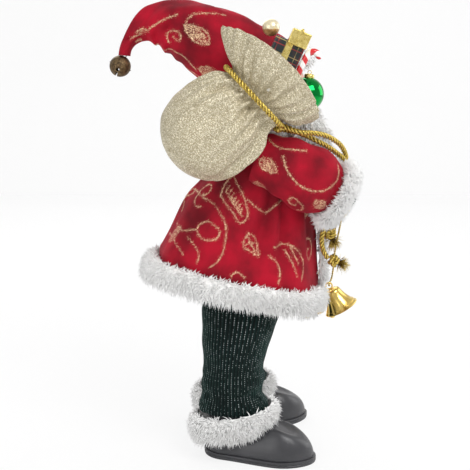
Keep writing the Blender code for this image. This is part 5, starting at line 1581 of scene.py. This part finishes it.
@dataclass
class Arms:
    """The velvet sleeves with their fur cuffs, and the mittens."""

    height: float = 0.0315
    width: float = 0.026
    fullness: tuple[float, ...] = (0.76, 0.84, 0.92, 1.0, 0.98, 0.66)
    creases: tuple[Crease, ...] = crease_rows((
        (170, 0.30, 215, 0.62, 0.0030, 0.0050), (190, 0.62, 240, 0.50, 0.0026, 0.0045),
        (120, 0.40, 150, 0.66, 0.0024, 0.0045), (60, 0.84, 130, 0.90, 0.0018, 0.0035),
        (230, 0.80, 300, 0.90, 0.0018, 0.0035), (300, 0.30, 340, 0.55, 0.0018, 0.0050),
    ), 0.028, 0.085)

    def line(self, side: int, t: float) -> tuple[Vector, Vector]:
        """A point of an arm's middle line, and its direction there."""
        route = [(side * 0.050, -0.022, 0.304), (side * 0.056, -0.056, 0.291), (side * 0.046, -0.094, 0.270)]
        centre, before, after = (Vector(smooth_value([p[k] for p in route], min(max(s, 0.0), 1.0))
                                        for k in range(3)) for s in (t, t - 0.01, t + 0.01))
        return centre + MIDDLE, (after - before).normalized()

    def sleeve(self, side: int) -> Surface:
        """A sleeve's outside."""
        def surface(angle: float, t: float) -> Vector:
            """A point on the sleeve: t is 0 at the shoulder and 1 at the wrist."""
            centre, direction = self.line(side, min(max(t, 0.0), 1.0))
            up = (Vector((0, 0, 1)) - direction * direction.z).normalized()
            across = direction.cross(up).normalized()
            full = smooth_value(self.fullness, min(max(t, 0.0), 1.0))
            out = 0.0011 * sin(t * 21) * sin(pi * t)
            turn = angle if side < 0 else -angle
            out -= sum(crease.sink(turn, t) for crease in self.creases)
            out -= 0.0012 * max(0.0, t - 0.80) / 0.20 * (1 + sin(13 * angle))
            point = centre + up * (self.height * full + out) * cos(angle)
            point += across * (self.width * full + out) * sin(angle)
            soft = noise.noise(point * 55.0) * 0.0012
            return point + (point - centre).normalized() * soft

        return surface

    def make(self) -> None:
        """Build both arms."""
        for name, side in SIDES:
            surface = self.sleeve(side)
            sleeve = wrap(name + "_sleeve_cloth", surface, 130, 78)
            self._scrolls(surface, side).paint(sleeve)
            fit(sleeve, VELVET, [name + "_sleeve"])
            centre, direction = self.line(side, 1.0)
            pelt(name + "_wrist_pelt", name + "_sleeve_cuff", (0.0020, 5, 0.0030),
                 fur(5600, 0.0088, direction * 0.35, 31 + side, 0.15), self._outer(centre, direction))
            mitten = soften(copy_of(name + "_mitten", name + "_hand"), 0.0009, 5)
            fit(mitten, MITTEN_FELT, [name + "_hand"])

    def _outer(self, centre: Vector, direction: Vector) -> HairTest:
        """Keep the hairs that face away from the arm's middle line."""
        def keep(root: np.ndarray, normal: np.ndarray) -> np.ndarray:
            """Which hairs are kept."""
            away = root - np.array(centre)
            away -= (away @ np.array(direction))[:, None] * np.array(direction)
            away /= np.linalg.norm(away, axis=1)[:, None]
            return (away * normal).sum(1) > -0.25

        return keep

    def _scrolls(self, surface: Surface, side: int) -> Scrollwork:
        """A sleeve's gold pattern."""
        work = Scrollwork(surface, 0.178, 0.085)
        flank = -90 * side if side > 0 else 90
        base = 90
        for shift in (0, 180):
            work.stroke([(base + shift - 24, 0.34), (base + shift - 2, 0.42), (base + shift + 18, 0.56),
                         (base + shift + 10, 0.74), (base + shift - 22, 0.84), (base + shift - 52, 0.80)])
            work.leaf(base + shift + 52, 0.16, 24, -70, 7)
            work.leaf(base + shift - 6, 0.12, 20, -20, 6)
            work.leaf(base + shift + 30, 0.74, 15, -30, 6)
            work.curl(base + shift + 62, 0.62, 8, 40)
        work.stroke([(flank - 60, 0.10), (flank - 40, 0.30), (flank - 50, 0.50)])
        return work


# Head


@dataclass
class Head:
    """The painted face, the curled beard, the moustache, the brows and the hair."""

    centre: Vector = field(default_factory=lambda: MIDDLE + Vector((0, -0.040, 0.364)))
    radii: tuple[float, float, float] = (0.0285, 0.031, 0.037)
    eyeball: float = 0.0046
    iris: float = 0.0026
    pupil: float = 0.0013
    lid_radius: float = 0.0051
    brow_line: tuple[tuple[float, float], ...] = ((0.0060, 0.0086), (0.0085, 0.0096), (0.0112, 0.0100),
                                                  (0.0138, 0.0094), (0.0160, 0.0080))

    def make(self) -> None:
        """Build the whole head."""
        self._face()
        self._eyes()
        curls = Pile(3600, 0.0150, 0.0010, 5, (0.35, -0.1, -0.9), 0.35, 0.35, 0.7, 0.0018, 1.1, 41, True)
        pelt("beard_body", "beard", (0.0020, 6, 0.0035), curls, self._front, HAIR)
        sweep = Pile(1300, 0.0105, 0.0007, 4, (0.9, -0.1, -0.7), 0.4, 0.35, 0.5, 0.0011, 0.9, 42, True)
        pelt("moustache_body", "moustache", (0.0010, 3, 0.0014), sweep, None, HAIR)
        for name, side in SIDES:
            spots = [self._brow_spot(name, side, across, up) for across, up in self.brow_line]
            brow = soften(join_all(name + "_brow", spots), 0.0005, 3)
            lay = (side * 1.2, -0.1, 0.45)
            tuft = Pile(240, 0.0034, 0.0004, 3, lay, 0.0, 0.25, 0.3, 0.0003, 0.7, 43 + side)
            fit(tuft.grow(brow), HAIR, [name + "_eyebrow"])
        curls = Pile(1900, 0.0120, 0.0010, 4, (0.0, 0.1, -0.8), 0.3, 0.35, 0.6, 0.0015, 1.0, 46)
        pelt("hair_body", "hair", (0.0018, 5, 0.0020), curls, round_axis(self.centre.x, self.centre.y), HAIR)

    def _brow_spot(self, name: str, side: int, across: float, up: float) -> Piece:
        """One of the soft lumps that make a brow, set on the forehead."""
        wide, deep, tall = self.radii
        out = deep * sqrt(1 - (across / wide) ** 2 - (up / tall) ** 2)
        place = self.centre + Vector((side * across, -out - 0.0004, up))
        return ball(name + "_brow", place, (0.0023, 0.0013, 0.0013), segments=12)

    def _front(self, root: np.ndarray, normal: np.ndarray) -> np.ndarray:
        """Keep the beard's hairs that don't face the chest."""
        return (normal[:, 1] < 0.45) & (normal[:, 2] < 0.85)

    def _face(self) -> None:
        """The modelled face: a plain oval head with nose, cheeks and a lower lip; the lids are made with the
        eyes.
        """
        c = self.centre
        front = c.y - self.radii[1]
        parts = [ball("skull", c, self.radii, segments=48)]
        shapes = (
            ("nose_tip", (0, front - 0.0018, -0.0065), (0.0052, 0.0054, 0.0048)),
            ("nose_bridge", (0, front + 0.0012, 0.0010), (0.0032, 0.0042, 0.0085)),
            ("brow_ridge", (0, front + 0.0058, 0.0100), (0.0175, 0.0062, 0.0036)),
            ("lip", (0, front + 0.0010, -0.0205), (0.0070, 0.0028, 0.0020)),
            ("chin", (0, front + 0.0060, -0.0270), (0.0090, 0.0070, 0.0060)),
        )
        for name, (x, y, z), radii in shapes:
            parts.append(ball(name, Vector((c.x + x, y, c.z + z)), radii, segments=24))
        for _, side in SIDES:
            parts.append(ball("cheek", Vector((c.x + side * 0.0135, front + 0.0085, c.z - 0.009)),
                              (0.0085, 0.0065, 0.0075), segments=24))
            parts.append(ball("nostril", Vector((c.x + side * 0.0036, front + 0.0010, c.z - 0.0082)),
                              (0.0026, 0.0030, 0.0025), segments=16))
        face = soften(join_all("face", parts), 0.0009, 6)
        sockets = [Vector((c.x + side * 0.0105, front + 0.0022, c.z + 0.0040)) for _, side in SIDES]
        blush = []
        for vertex in face.data.vertices:
            for socket in sockets:
                near = exp(-((vertex.co - socket).length / 0.0052) ** 2)
                vertex.co.y += 0.0020 * near
            rosy = max(exp(-((vertex.co - Vector((c.x + side * 0.0150, front + 0.004, c.z - 0.009))).length
                                  / 0.0085) ** 2) for _, side in SIDES)
            nose = exp(-((vertex.co - Vector((c.x, front - 0.004, c.z - 0.0065))).length / 0.0065) ** 2)
            lip = exp(-((vertex.co - Vector((c.x, front, c.z - 0.0205))).length / 0.0045) ** 4)
            blush.append(min(1.0, 0.62 * rosy + 0.45 * nose + 0.8 * lip))
        face.data.attributes.new("blush", "FLOAT", "POINT").data.foreach_set("value", blush)
        fit(face, FACE, ["head"])

    def _eyes(self) -> None:
        """The eyes, each a ball with its iris and pupil under an upper and a lower lid."""
        front = self.centre.y - self.radii[1]
        for name, side in SIDES:
            middle = Vector((self.centre.x + side * 0.0105, front + 0.0060, self.centre.z + 0.0028))
            gaze = Vector((side * 0.10, -1.0, -0.02)).normalized()
            fit(ball(name + "_eyeball", middle, (self.eyeball,) * 3), EYE_WHITE, slot=Slot.FACE)
            fit(ball(name + "_iris", middle + gaze * 0.0024, (self.iris,) * 3), EYE_BLUE, slot=Slot.FACE)
            fit(ball(name + "_pupil", middle + gaze * 0.0040, (self.pupil,) * 3), EYE_BLACK, slot=Slot.FACE)
            for lid, low, high in (("upper", 0.36, 0.95), ("lower", -0.90, -0.34)):
                fit(self._lid(f"{name}_{lid}_lid", middle, low, high), FACE)

    def _lid(self, name: str, middle: Vector, low: float, high: float) -> Piece:
        """A lid: the band of a slightly larger ball between two heights, with a wall."""
        lid = ball(name, middle, (self.lid_radius,) * 3)

        def trim() -> None:
            """Cut the ball above, below and behind the band."""
            for normal, place, inner in (((0, 0, 1), low, True), ((0, 0, 1), high, False),
                                         ((0, 1, 0), 0.1, False)):
                bpy.ops.mesh.select_all(action="SELECT")
                shift = Vector(normal) * self.lid_radius * place
                bpy.ops.mesh.bisect(plane_co=middle + shift, plane_no=normal, clear_inner=inner,
                                    clear_outer=not inner)

        in_edit_mode(lid, trim)
        apply_modifier(lid, "SOLIDIFY", thickness=0.0006, offset=0.0)
        lid.data.shade_smooth()
        return lid


# Cap


@dataclass
class Cap:
    """The long velvet cap with its fur brim and round bell."""

    bell_radius: float = 0.0105
    bell_wall: float = 0.0010
    rows: tuple[tuple[float, ...], ...] = (
        (-0.0365, 0.3715, 0.0405, 0.0375, 35), (-0.0210, 0.3875, 0.0405, 0.0380, 43),
        (0.0007, 0.3985, 0.0390, 0.0370, 52), (0.0228, 0.4123, 0.0367, 0.0340, 61),
        (0.0447, 0.4219, 0.0306, 0.0290, 73), (0.0638, 0.4260, 0.0262, 0.0230, 86),
        (0.0809, 0.4270, 0.0195, 0.0165, 103), (0.0940, 0.4225, 0.0115, 0.0115, 128),
        (0.1025, 0.4150, 0.0076, 0.0090, 146), (0.1073, 0.4070, 0.0062, 0.0076, 163),
        (0.1090, 0.3990, 0.0060, 0.0068, 175),
    )
    creases: tuple[Crease, ...] = crease_rows((
        (-60, 0.44, -128, 0.56, 0.0032, 0.0045), (-70, 0.52, -130, 0.66, -0.0022, 0.0050),
        (-50, 0.58, -120, 0.72, 0.0026, 0.0040, 0.026, 0.17), (60, 0.44, 128, 0.56, 0.0030, 0.0045),
        (50, 0.60, 120, 0.72, 0.0026, 0.0040, 0.026, 0.17),
        (-30, 0.30, 20, 0.38, 0.0030, 0.0050, 0.032, 0.17),
        (-40, 0.16, -90, 0.30, 0.0022, 0.0055, 0.036, 0.17),
        (180, 0.50, 150, 0.62, 0.0024, 0.0050, 0.026, 0.17),
        (-100, 0.76, -60, 0.84, 0.0020, 0.0035, 0.016, 0.17),
    ), 0.030, 0.17)

    def __post_init__(self) -> None:
        """Turn the rows into a form."""
        depth, width = 0.0400 / self.rows[0][2], 0.0370 / self.rows[0][3]
        self.form = form_of([(y, z, d * depth, w * width, -lean) for y, z, d, w, lean in self.rows])

    def surface(self, angle: float, t: float) -> Vector:
        """A point on the cap: t is 0 at the brim and 1 at the point."""
        crease = 0.0017 * sin((t - 0.40) * 62) * exp(-((t - 0.54) / 0.11) ** 2)
        soft = 0.0010 * sin(5 * angle + 14 * t) * sin(pi * t)
        out = crease * (0.7 - 0.6 * cos(angle)) + soft
        out -= sum(c.sink(angle, t) for c in self.creases)
        section = self.form.at(t)
        rough = section.point(angle, out)
        return section.point(angle, out + noise.noise(rough * 60.0) * 0.0012 * sin(pi * t))

    def make(self) -> None:
        """Build the cap, its scrollwork, its brim and its bell."""
        cloth = wrap("cap_cloth", self.surface, 170, 130)
        self._scrolls().paint(cloth)
        fit(cloth, VELVET, ["cap"])
        pelt("brim_pelt", "cap_brim", (0.0022, 6, 0.0026),
             fur(7600, 0.0088, (0.0, 0.0, -0.15), 51, 0.15, 0.38), self._outer)
        self._bell()

    def _outer(self, root: np.ndarray, normal: np.ndarray) -> np.ndarray:
        """Keep the brim's hairs that face away from the cap's middle line."""
        start = MIDDLE + Vector((0, self.rows[0][0], self.rows[0][1]))
        lean = radians(self.rows[0][4])
        line = np.array([0, sin(lean), cos(lean)])
        away = root - np.array(start)
        away -= (away @ line)[:, None] * line
        away /= np.linalg.norm(away, axis=1)[:, None]
        return (away * normal).sum(1) > -0.25

    def _scrolls(self) -> Scrollwork:
        """The cap's gold pattern."""
        work = Scrollwork(self.surface, 0.20, 0.170)
        for side in (-1, 1):
            work.leaf(side * 96, 0.30, 22, 20 * side, 7)
            work.leaf(side * 128, 0.20, 18, -30 * side, 6)
            work.leaf(side * 72, 0.14, 16, 40 * side, 5)
            work.curl(side * 110, 0.46, 9, 30 * side, side)
            work.stroke([(side * 150, 0.30), (side * 140, 0.44), (side * 155, 0.58), (side * 170, 0.68)])
            work.stroke([(side * 62, 0.46), (side * 90, 0.58), (side * 112, 0.70), (side * 92, 0.80)])
            work.stroke([(side * 40, 0.30), (side * 60, 0.40), (side * 84, 0.42)])
            work.leaf(side * 100, 0.64, 14, 10 * side, 4)
            work.stroke([(side * 172, 0.10), (side * 160, 0.24), (side * 172, 0.36)])
            work.curl(side * 150, 0.76, 5, 60 * side, side)
        return work

    def _bell(self) -> None:
        """The round bell: two pressed halves with a rim, a crossed slot and holes, and its pellet."""
        last = self.rows[-1]
        away = Vector((0, 0.40, -0.915)).normalized()
        centre = MIDDLE + Vector((0, last[0], last[1])) + away * (self.bell_radius + 0.0006)
        shell = ball("cap_jingle", centre, (self.bell_radius,) * 3, segments=48)
        inside = ball("jingle_inside", centre, (self.bell_radius - self.bell_wall,) * 3, segments=32)
        facing = away.to_track_quat("Z", "Y").to_matrix().to_4x4()
        cutters = [inside]
        for spin in (0, 90):
            slot = added(bpy.ops.mesh.primitive_cube_add, "jingle_slot", size=1.0)
            slot.matrix_world = (
                Matrix.Translation(centre) @ facing @ Matrix.Rotation(radians(spin), 4, "Z")
                @ Matrix.Translation((0, 0, 0.0078)) @ Matrix.Diagonal((0.0020, 0.0162, 0.010, 1)))
            cutters.append(settle(slot))
        for spin in (0, 90, 180, 270):
            hole = facing @ Matrix.Rotation(radians(spin), 4, "Z") @ Vector((0.0081, 0, 0.0030))
            cutters.append(ball("jingle_hole", centre + hole * 1.12, (0.0019,) * 3, segments=16))
        for cutter in cutters:
            apply_modifier(shell, "BOOLEAN", operation="DIFFERENCE", object=cutter)
            bpy.data.objects.remove(cutter, do_unlink=True)
        rim = wire_ring("jingle_rim", centre, self.bell_radius + 0.0001, 0.0006, away)
        shank = wire_ring("jingle_shank", centre - away * (self.bell_radius + 0.0004), 0.0018, 0.0005,
                          Vector((1, 0, 0)))
        bell = join_all("cap_jingle", [shell, rim, shank])
        apply_modifier(bell, "EDGE_SPLIT", split_angle=radians(50))
        in_edit_mode(bell, lambda: bpy.ops.mesh.remove_doubles(threshold=0.000002))
        fit(bell, OLD_BRASS, ["cap_bell"])
        keep_node("cap_bell_pellet", OLD_BRASS)


# Sack


@dataclass
class Sack:
    """The metallic cloth sack: stuffed body, tied and gathered neck, and flared mouth."""

    end: Vector = field(default_factory=lambda: Vector((-0.066, 0.0620, 0.3060)))
    neck: Vector = field(default_factory=lambda: Vector((-0.0715, -0.0173, 0.3609)))
    mouth: Vector = field(default_factory=lambda: Vector((-0.078, -0.0322, 0.3837)))
    body_half: float = 0.0458
    side_half: float = 0.037
    wall: float = 0.0022
    rise: float = 0.016
    gathers: int = 23
    creases: tuple[Crease, ...] = crease_rows((
        (-75, 0.45, -98, 0.29, 0.0052, 0.0042), (-115, 0.45, -136, 0.31, 0.0042, 0.0042),
        (-42, 0.45, -34, 0.25, 0.0044, 0.0042), (-96, 0.44, -108, 0.36, 0.0034, 0.0032),
        (-58, 0.44, -62, 0.33, 0.0034, 0.0032), (-22, 0.45, -20, 0.20, -0.0040, 0.0042),
        (-12, 0.44, -10, 0.18, 0.0044, 0.0036), (-118, 0.12, -84, 0.15, 0.0040, 0.0036, 0.040, 0.30),
        (-60, 0.16, -30, 0.18, 0.0030, 0.0040, 0.040, 0.30),
        (-82, 0.50, -58, 0.66, 0.0026, 0.0042, 0.040, 0.22),
        (-112, 0.50, -128, 0.68, 0.0024, 0.0042, 0.040, 0.22),
        (-50, 0.50, -24, 0.64, 0.0022, 0.0040, 0.040, 0.22),
        (-98, 0.54, -96, 0.68, -0.0030, 0.0050, 0.040, 0.22), (150, 0.45, 170, 0.28, 0.0040, 0.0042),
        (90, 0.45, 80, 0.28, 0.0042, 0.0042),
    ), 0.040, 0.40)

    def make(self) -> None:
        """Build the sack, and dress its wadding."""
        stations = self._stations()
        columns = list(zip(*stations))

        def surface(angle: float, t: float) -> Vector:
            """A point on the sack: t runs from its far end over the rim into the cup."""
            x, y, z, depth, width, tilt, gather, lift, wall = (smooth_value(c, t) for c in columns)
            section = Section(x, y, z, depth, width, tilt)
            turn = sin(self.gathers * angle + 1.5 * sin(2 * angle)) + 0.5 * sin(15 * angle + 1)
            out = 0.0016 * gather * turn - wall
            if t < 0.62:
                near = exp(-((angle - 0.62) / 0.10) ** 2)
                out -= 0.0050 * near * sin(pi * min(1, t / 0.62)) * (1 - gather * 0.6)
                out += 0.0022 * exp(-((angle - 0.86) / 0.12) ** 2) * sin(pi * t / 0.62)
            if t < 0.72:
                out -= sum(crease.sink(angle, t) for crease in self.creases)
            up = Vector((0, -sin(tilt), cos(tilt)))
            point = section.point(angle, out) + up * lift * max(0.0, -sin(angle)) ** 1.5
            soft = noise.noise(point * 32.0) * 0.0022 + noise.noise(point * 85.0) * 0.0008
            return point + (point - MIDDLE - Vector((x, y, z))).normalized() * soft * (0.3 if wall else 1.0)

        cloth = wrap("sack_cloth", surface, 230, 210)
        fit(cloth, SACK_CLOTH, ["sack"])
        keep_node("sack_filling", WADDING)

    def _flare(self, share: float) -> tuple[float, float, float, float, float, float]:
        """The mouth's middle, half depth, half width and tilt: share is 0 at the neck and 1 at the rim."""
        opening = max(share - 0.17, 0.0) / 0.83
        flare = sin(opening * QUARTER) ** 0.9
        place = self.neck.lerp(self.mouth, share)
        return (*place, 0.0305 + 0.028 * flare, 0.0200 + 0.008 * flare, radians(48.3 - 6.1 * share))

    def _stations(self) -> list[tuple[float, ...]]:
        """The sack's stations: middle, half sizes, tilt, gathers, lift and wall."""
        tilt = radians(56.6)
        rows: list[tuple[float, ...]] = [(*self.end, 0.0, 0.0, tilt, 0.0, 0.0, 0.0)]
        for along, size, gather in (
                (0.01, 0.16, 0), (0.03, 0.34, 0), (0.09, 0.60, 0), (0.20, 0.84, 0.1), (0.36, 0.975, 0.1),
                (0.54, 1.0, 0.3), (0.72, 0.94, 0.8), (0.85, 0.82, 1.3), (0.93, 0.665, 1.2)):
            centre = self.end.lerp(self.neck, along) + Vector((0, 0, -0.0025 * sin(pi * along)))
            rows.append((*centre, self.body_half * size, self.side_half * min(1.0, size * 1.02), tilt, gather,
                         0.0, 0.0))
        for share, gather in ((0.02, 0.8), (0.16, 0.9), (0.30, 1.6), (0.50, 1.3), (0.74, 0.9), (0.92, 0.7),
                              (1.0, 0.7)):
            wall = -0.0004 if share > 0.9 else 0.0
            rows.append((*self._flare(share), gather, self.rise * share**1.3, wall))
        for share, gather in ((1.0, 0.7), (0.92, 0.7), (0.74, 0.9), (0.50, 1.3), (0.30, 1.6)):
            rows.append((*self._flare(share), gather, self.rise * share**1.3, self.wall))
        x, y, z, _, _, lean = self._flare(0.30)
        rows.append((x, y, z, self.wall, self.wall, lean, 0.0, 0.0, self.wall))
        return rows


# Gifts


@dataclass
class Gifts:
    """The things in the sack's mouth."""

    lean: float = radians(23.5)
    green_size: tuple[float, float, float] = (0.022, 0.028, 0.034)
    gold_size: tuple[float, float, float] = (0.014, 0.0175, 0.0135)

    def make(self) -> None:
        """Build the boxes, the balls and the sweet."""
        low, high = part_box("green_gift")
        centre = (low + high) / 2
        fit(self._box("checked_gift", centre, self.green_size, 0.0011), CHECK_PAPER, ["green_gift"])
        keep_node("green_gift_ribbon", FOIL)
        low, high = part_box("gold_gift")
        gold = (low + high) / 2
        box = self._box("foil_gift", gold, self.gold_size, 0.0009)
        up = Vector((0, -sin(self.lean), cos(self.lean)))
        top = gold + up * self.gold_size[2] / 2
        loops = [ball("bow", top + Vector((side * 0.0032, 0, 0.0010)), (0.0030, 0.0016, 0.0014),
                      (0, side * 0.4, 0), 16) for side in (-1, 1)]
        strap = (self.gold_size[0] + 0.0006, 0.0030, self.gold_size[2] + 0.0006)
        band = self._box("band", gold, strap, 0.0002)
        fit(join_all("foil_gift", [box, band, *loops]), FOIL, ["gold_gift"])
        low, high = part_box("gold_ball")
        pearl = ball("pearl_ball", (low + high) / 2, tuple((high - low) / 2), segments=40)
        fit(pearl, PEARL, ["gold_ball"])
        low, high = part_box("green_bauble")
        bauble_centre = (low + high) / 2
        radius = (high.x - low.x) / 2
        bauble = ball("glass_bauble", bauble_centre, (radius,) * 3, segments=56)
        fit(bauble, GREEN_GLASS, ["green_bauble"])
        self._bauble_cap(bauble_centre, radius)
        self._cane()

    def _box(self, name: str, centre: Vector, size: Sequence[float], edge: float) -> Piece:
        """A leaning wrapped box with soft edges and slightly hollow faces."""
        box = added(bpy.ops.mesh.primitive_cube_add, name, size=1.0)
        box.matrix_world = (Matrix.Translation(centre) @ Matrix.Rotation(self.lean, 4, "X")
                            @ Matrix.Diagonal((*size, 1.0)))
        settle(box)
        apply_modifier(box, "BEVEL", width=edge, segments=3)
        in_edit_mode(box, lambda: bpy.ops.mesh.subdivide(number_cuts=5))
        for vertex in box.data.vertices:
            vertex.co += Vector(noise.noise_vector(vertex.co * 260.0)) * 0.00022
        box.data.shade_smooth()
        apply_modifier(box, "WEIGHTED_NORMAL")
        return box

    def _bauble_cap(self, centre: Vector, radius: float) -> None:
        """The bauble's metal cap with its wire loop."""
        axis = Vector((0, -0.10, 0.995)).normalized()
        foot = radius - 0.0009
        profile = [(0.0, foot), (0.0042, foot), (0.0046, foot + 0.0006), (0.0045, foot + 0.0030),
                   (0.0036, foot + 0.0037), (0.0012, foot + 0.0040), (0.0, foot + 0.0040)]
        place = Matrix.Translation(centre) @ axis.to_track_quat("Z", "Y").to_matrix().to_4x4()
        cap = turned("bauble_metal_cap", profile, place, 36)
        loop = wire_ring("bauble_loop", centre + axis * (foot + 0.0052), 0.0016, 0.0003, Vector((1, 0, 0)))
        fit(join_all("bauble_metal_cap", [cap, loop]), FOIL, ["bauble_cap"])

    def _cane(self) -> None:
        """The striped sweet with its hook."""
        low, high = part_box("candy_cane")
        x = (low.x + high.x) / 2
        radius = (high.x - low.x) / 2
        head = Vector((x, -0.0640 + MIDDLE.y, 0.3985))
        foot = Vector((x, -0.0480 + MIDDLE.y, 0.3672))
        stem = (head - foot).normalized()
        bend = Vector((0, -stem.z, stem.y))
        points = [foot.lerp(head, i / 4) for i in range(5)]
        for i in range(1, 8):
            turn = radians(i * 24)
            points.append(head + bend * 0.0055 * (1 - cos(turn)) + stem * 0.0055 * sin(turn))
        path = smooth_path(points, 80)
        frames = frames_along(path)

        def surface(angle: float, t: float) -> Vector:
            """A point on the stick, with rounded ends."""
            index = min(int(round(t * 79)), 79)
            first, second = frames[index]
            end = min(t, 1 - t) * path_length(path) / radius
            size = radius * (sqrt(max(0.0, 1 - (1 - end) ** 2)) if end < 1 else 1.0)
            return path[index] + (first * cos(angle) + second * sin(angle)) * size

        fit(wrap("striped_cane", surface, 28, 79, filled=False), CANDY, ["candy_cane"])


# Hand bells


@dataclass
class HandBell:
    """A brass hand bell with its loop and staple, and its clapper."""

    name: str
    place: Vector
    lean: float
    bell_body: Body
    clapper_body: Body
    mouth: float = 0.0180
    waist: float = 0.0088
    height: float = 0.0270
    wall: float = 0.0011
    loop: float = 0.0034
    wire: float = 0.0008

    def make(self) -> None:
        """Build the bell and its clapper."""
        matrix = Matrix.Translation(MIDDLE + self.place) @ Matrix.Rotation(-self.lean, 4, "X")
        top = -self.loop - self.wire * 0.5
        bottom = top - self.height + self.loop
        shoulder = top - 0.0035
        shares = [i / 22 for i in range(23)]
        flank = [(self._radius(s), shoulder + (bottom - shoulder) * s) for s in shares]
        outer = [(0.0, top), (self.waist * 0.45, top - 0.0003), (self.waist * 0.70, top - 0.0007),
                 (self.waist * 0.88, top - 0.0015), (self.waist * 0.97, top - 0.0026)] + flank
        lip = [(flank[-1][0] + 0.0003, bottom + 0.0004), (flank[-1][0] + 0.0002, bottom - 0.0001),
               (flank[-1][0] - self.wall, bottom)]
        inner = [(radius - self.wall, height) for radius, height in reversed(flank[:-1])]
        inner += [(self.waist * 0.85 - self.wall, top - 0.0014 - self.wall), (0.0, top - self.wall)]
        shell = turned(self.name + "_bell_shell", outer + lip + inner, matrix, 72)
        spin = matrix.to_3x3()
        ring = wire_ring("loop", matrix @ Vector((0, 0, 0)), self.loop, self.wire, Vector((1, 0, 0)))
        bead = wire_ring("bead", matrix @ Vector((0, 0, bottom + 0.0030)), self._radius(0.86) + 0.0001,
                         0.00035, spin @ Vector((0, 0, 1)))
        staple = wire_ring("staple", matrix @ Vector((0, 0, top - self.wall - 0.0012)), 0.0023, 0.0006,
                           Vector((0, 1, 0)))
        bell = join_all(self.name + "_bell_shell", [shell, ring, bead, staple])
        fit(bell, BRASS, [self.name + "_bell"], self.bell_body)
        pivot = matrix @ Vector((0, 0, top - self.wall - 0.0036))
        self._clapper(pivot)

    def _radius(self, share: float) -> float:
        """The bell's outer radius: share is 0 at the shoulder and 1 at the lip."""
        return self.waist + (self.mouth - self.waist) * share**2.2 + 0.0012 * sin(share * 3)

    def _clapper(self, pivot: Vector) -> None:
        """The clapper: an eye, a wire and a ball, hanging plumb."""
        length, size = 0.0245, 0.0034
        profile = [(0.0, -0.0018), (0.0008, -0.0019), (0.0008, -length + size * 0.97)]
        for i in range(1, 12):
            turn = pi * i / 12
            if size * sin(turn) > 0.0009 or turn > QUARTER:
                profile.append((size * sin(turn), -length + size * cos(turn)))
        profile.append((0.0, -length - size))
        rod = turned(self.name + "_striker", profile, Matrix.Translation(pivot), 28)
        eye = wire_ring("eye", pivot, 0.0018, 0.0006, Vector((1, 0, 0)))
        fit(join_all(self.name + "_striker", [rod, eye]), BRASS, [self.name + "_clapper"],
            self.clapper_body)


def main() -> None:
    """Build every sub-assembly in order."""
    logging.basicConfig(level=logging.INFO, format="%(message)s")
    Studio().make()
    Cords().make()
    Coat().make()
    Legs().make()
    Arms().make()
    Head().make()
    Cap().make()
    Sack().make()
    Gifts().make()
    HandBell("front", Vector((0.022, -0.0995, 0.1600)), radians(30), Body.FRONT_BELL,
             Body.FRONT_CLAPPER).make()
    HandBell("side", Vector((0.057, -0.0800, 0.1505)), 0.0, Body.SIDE_BELL, Body.SIDE_CLAPPER).make()


if __name__ == "__main__":
    main()
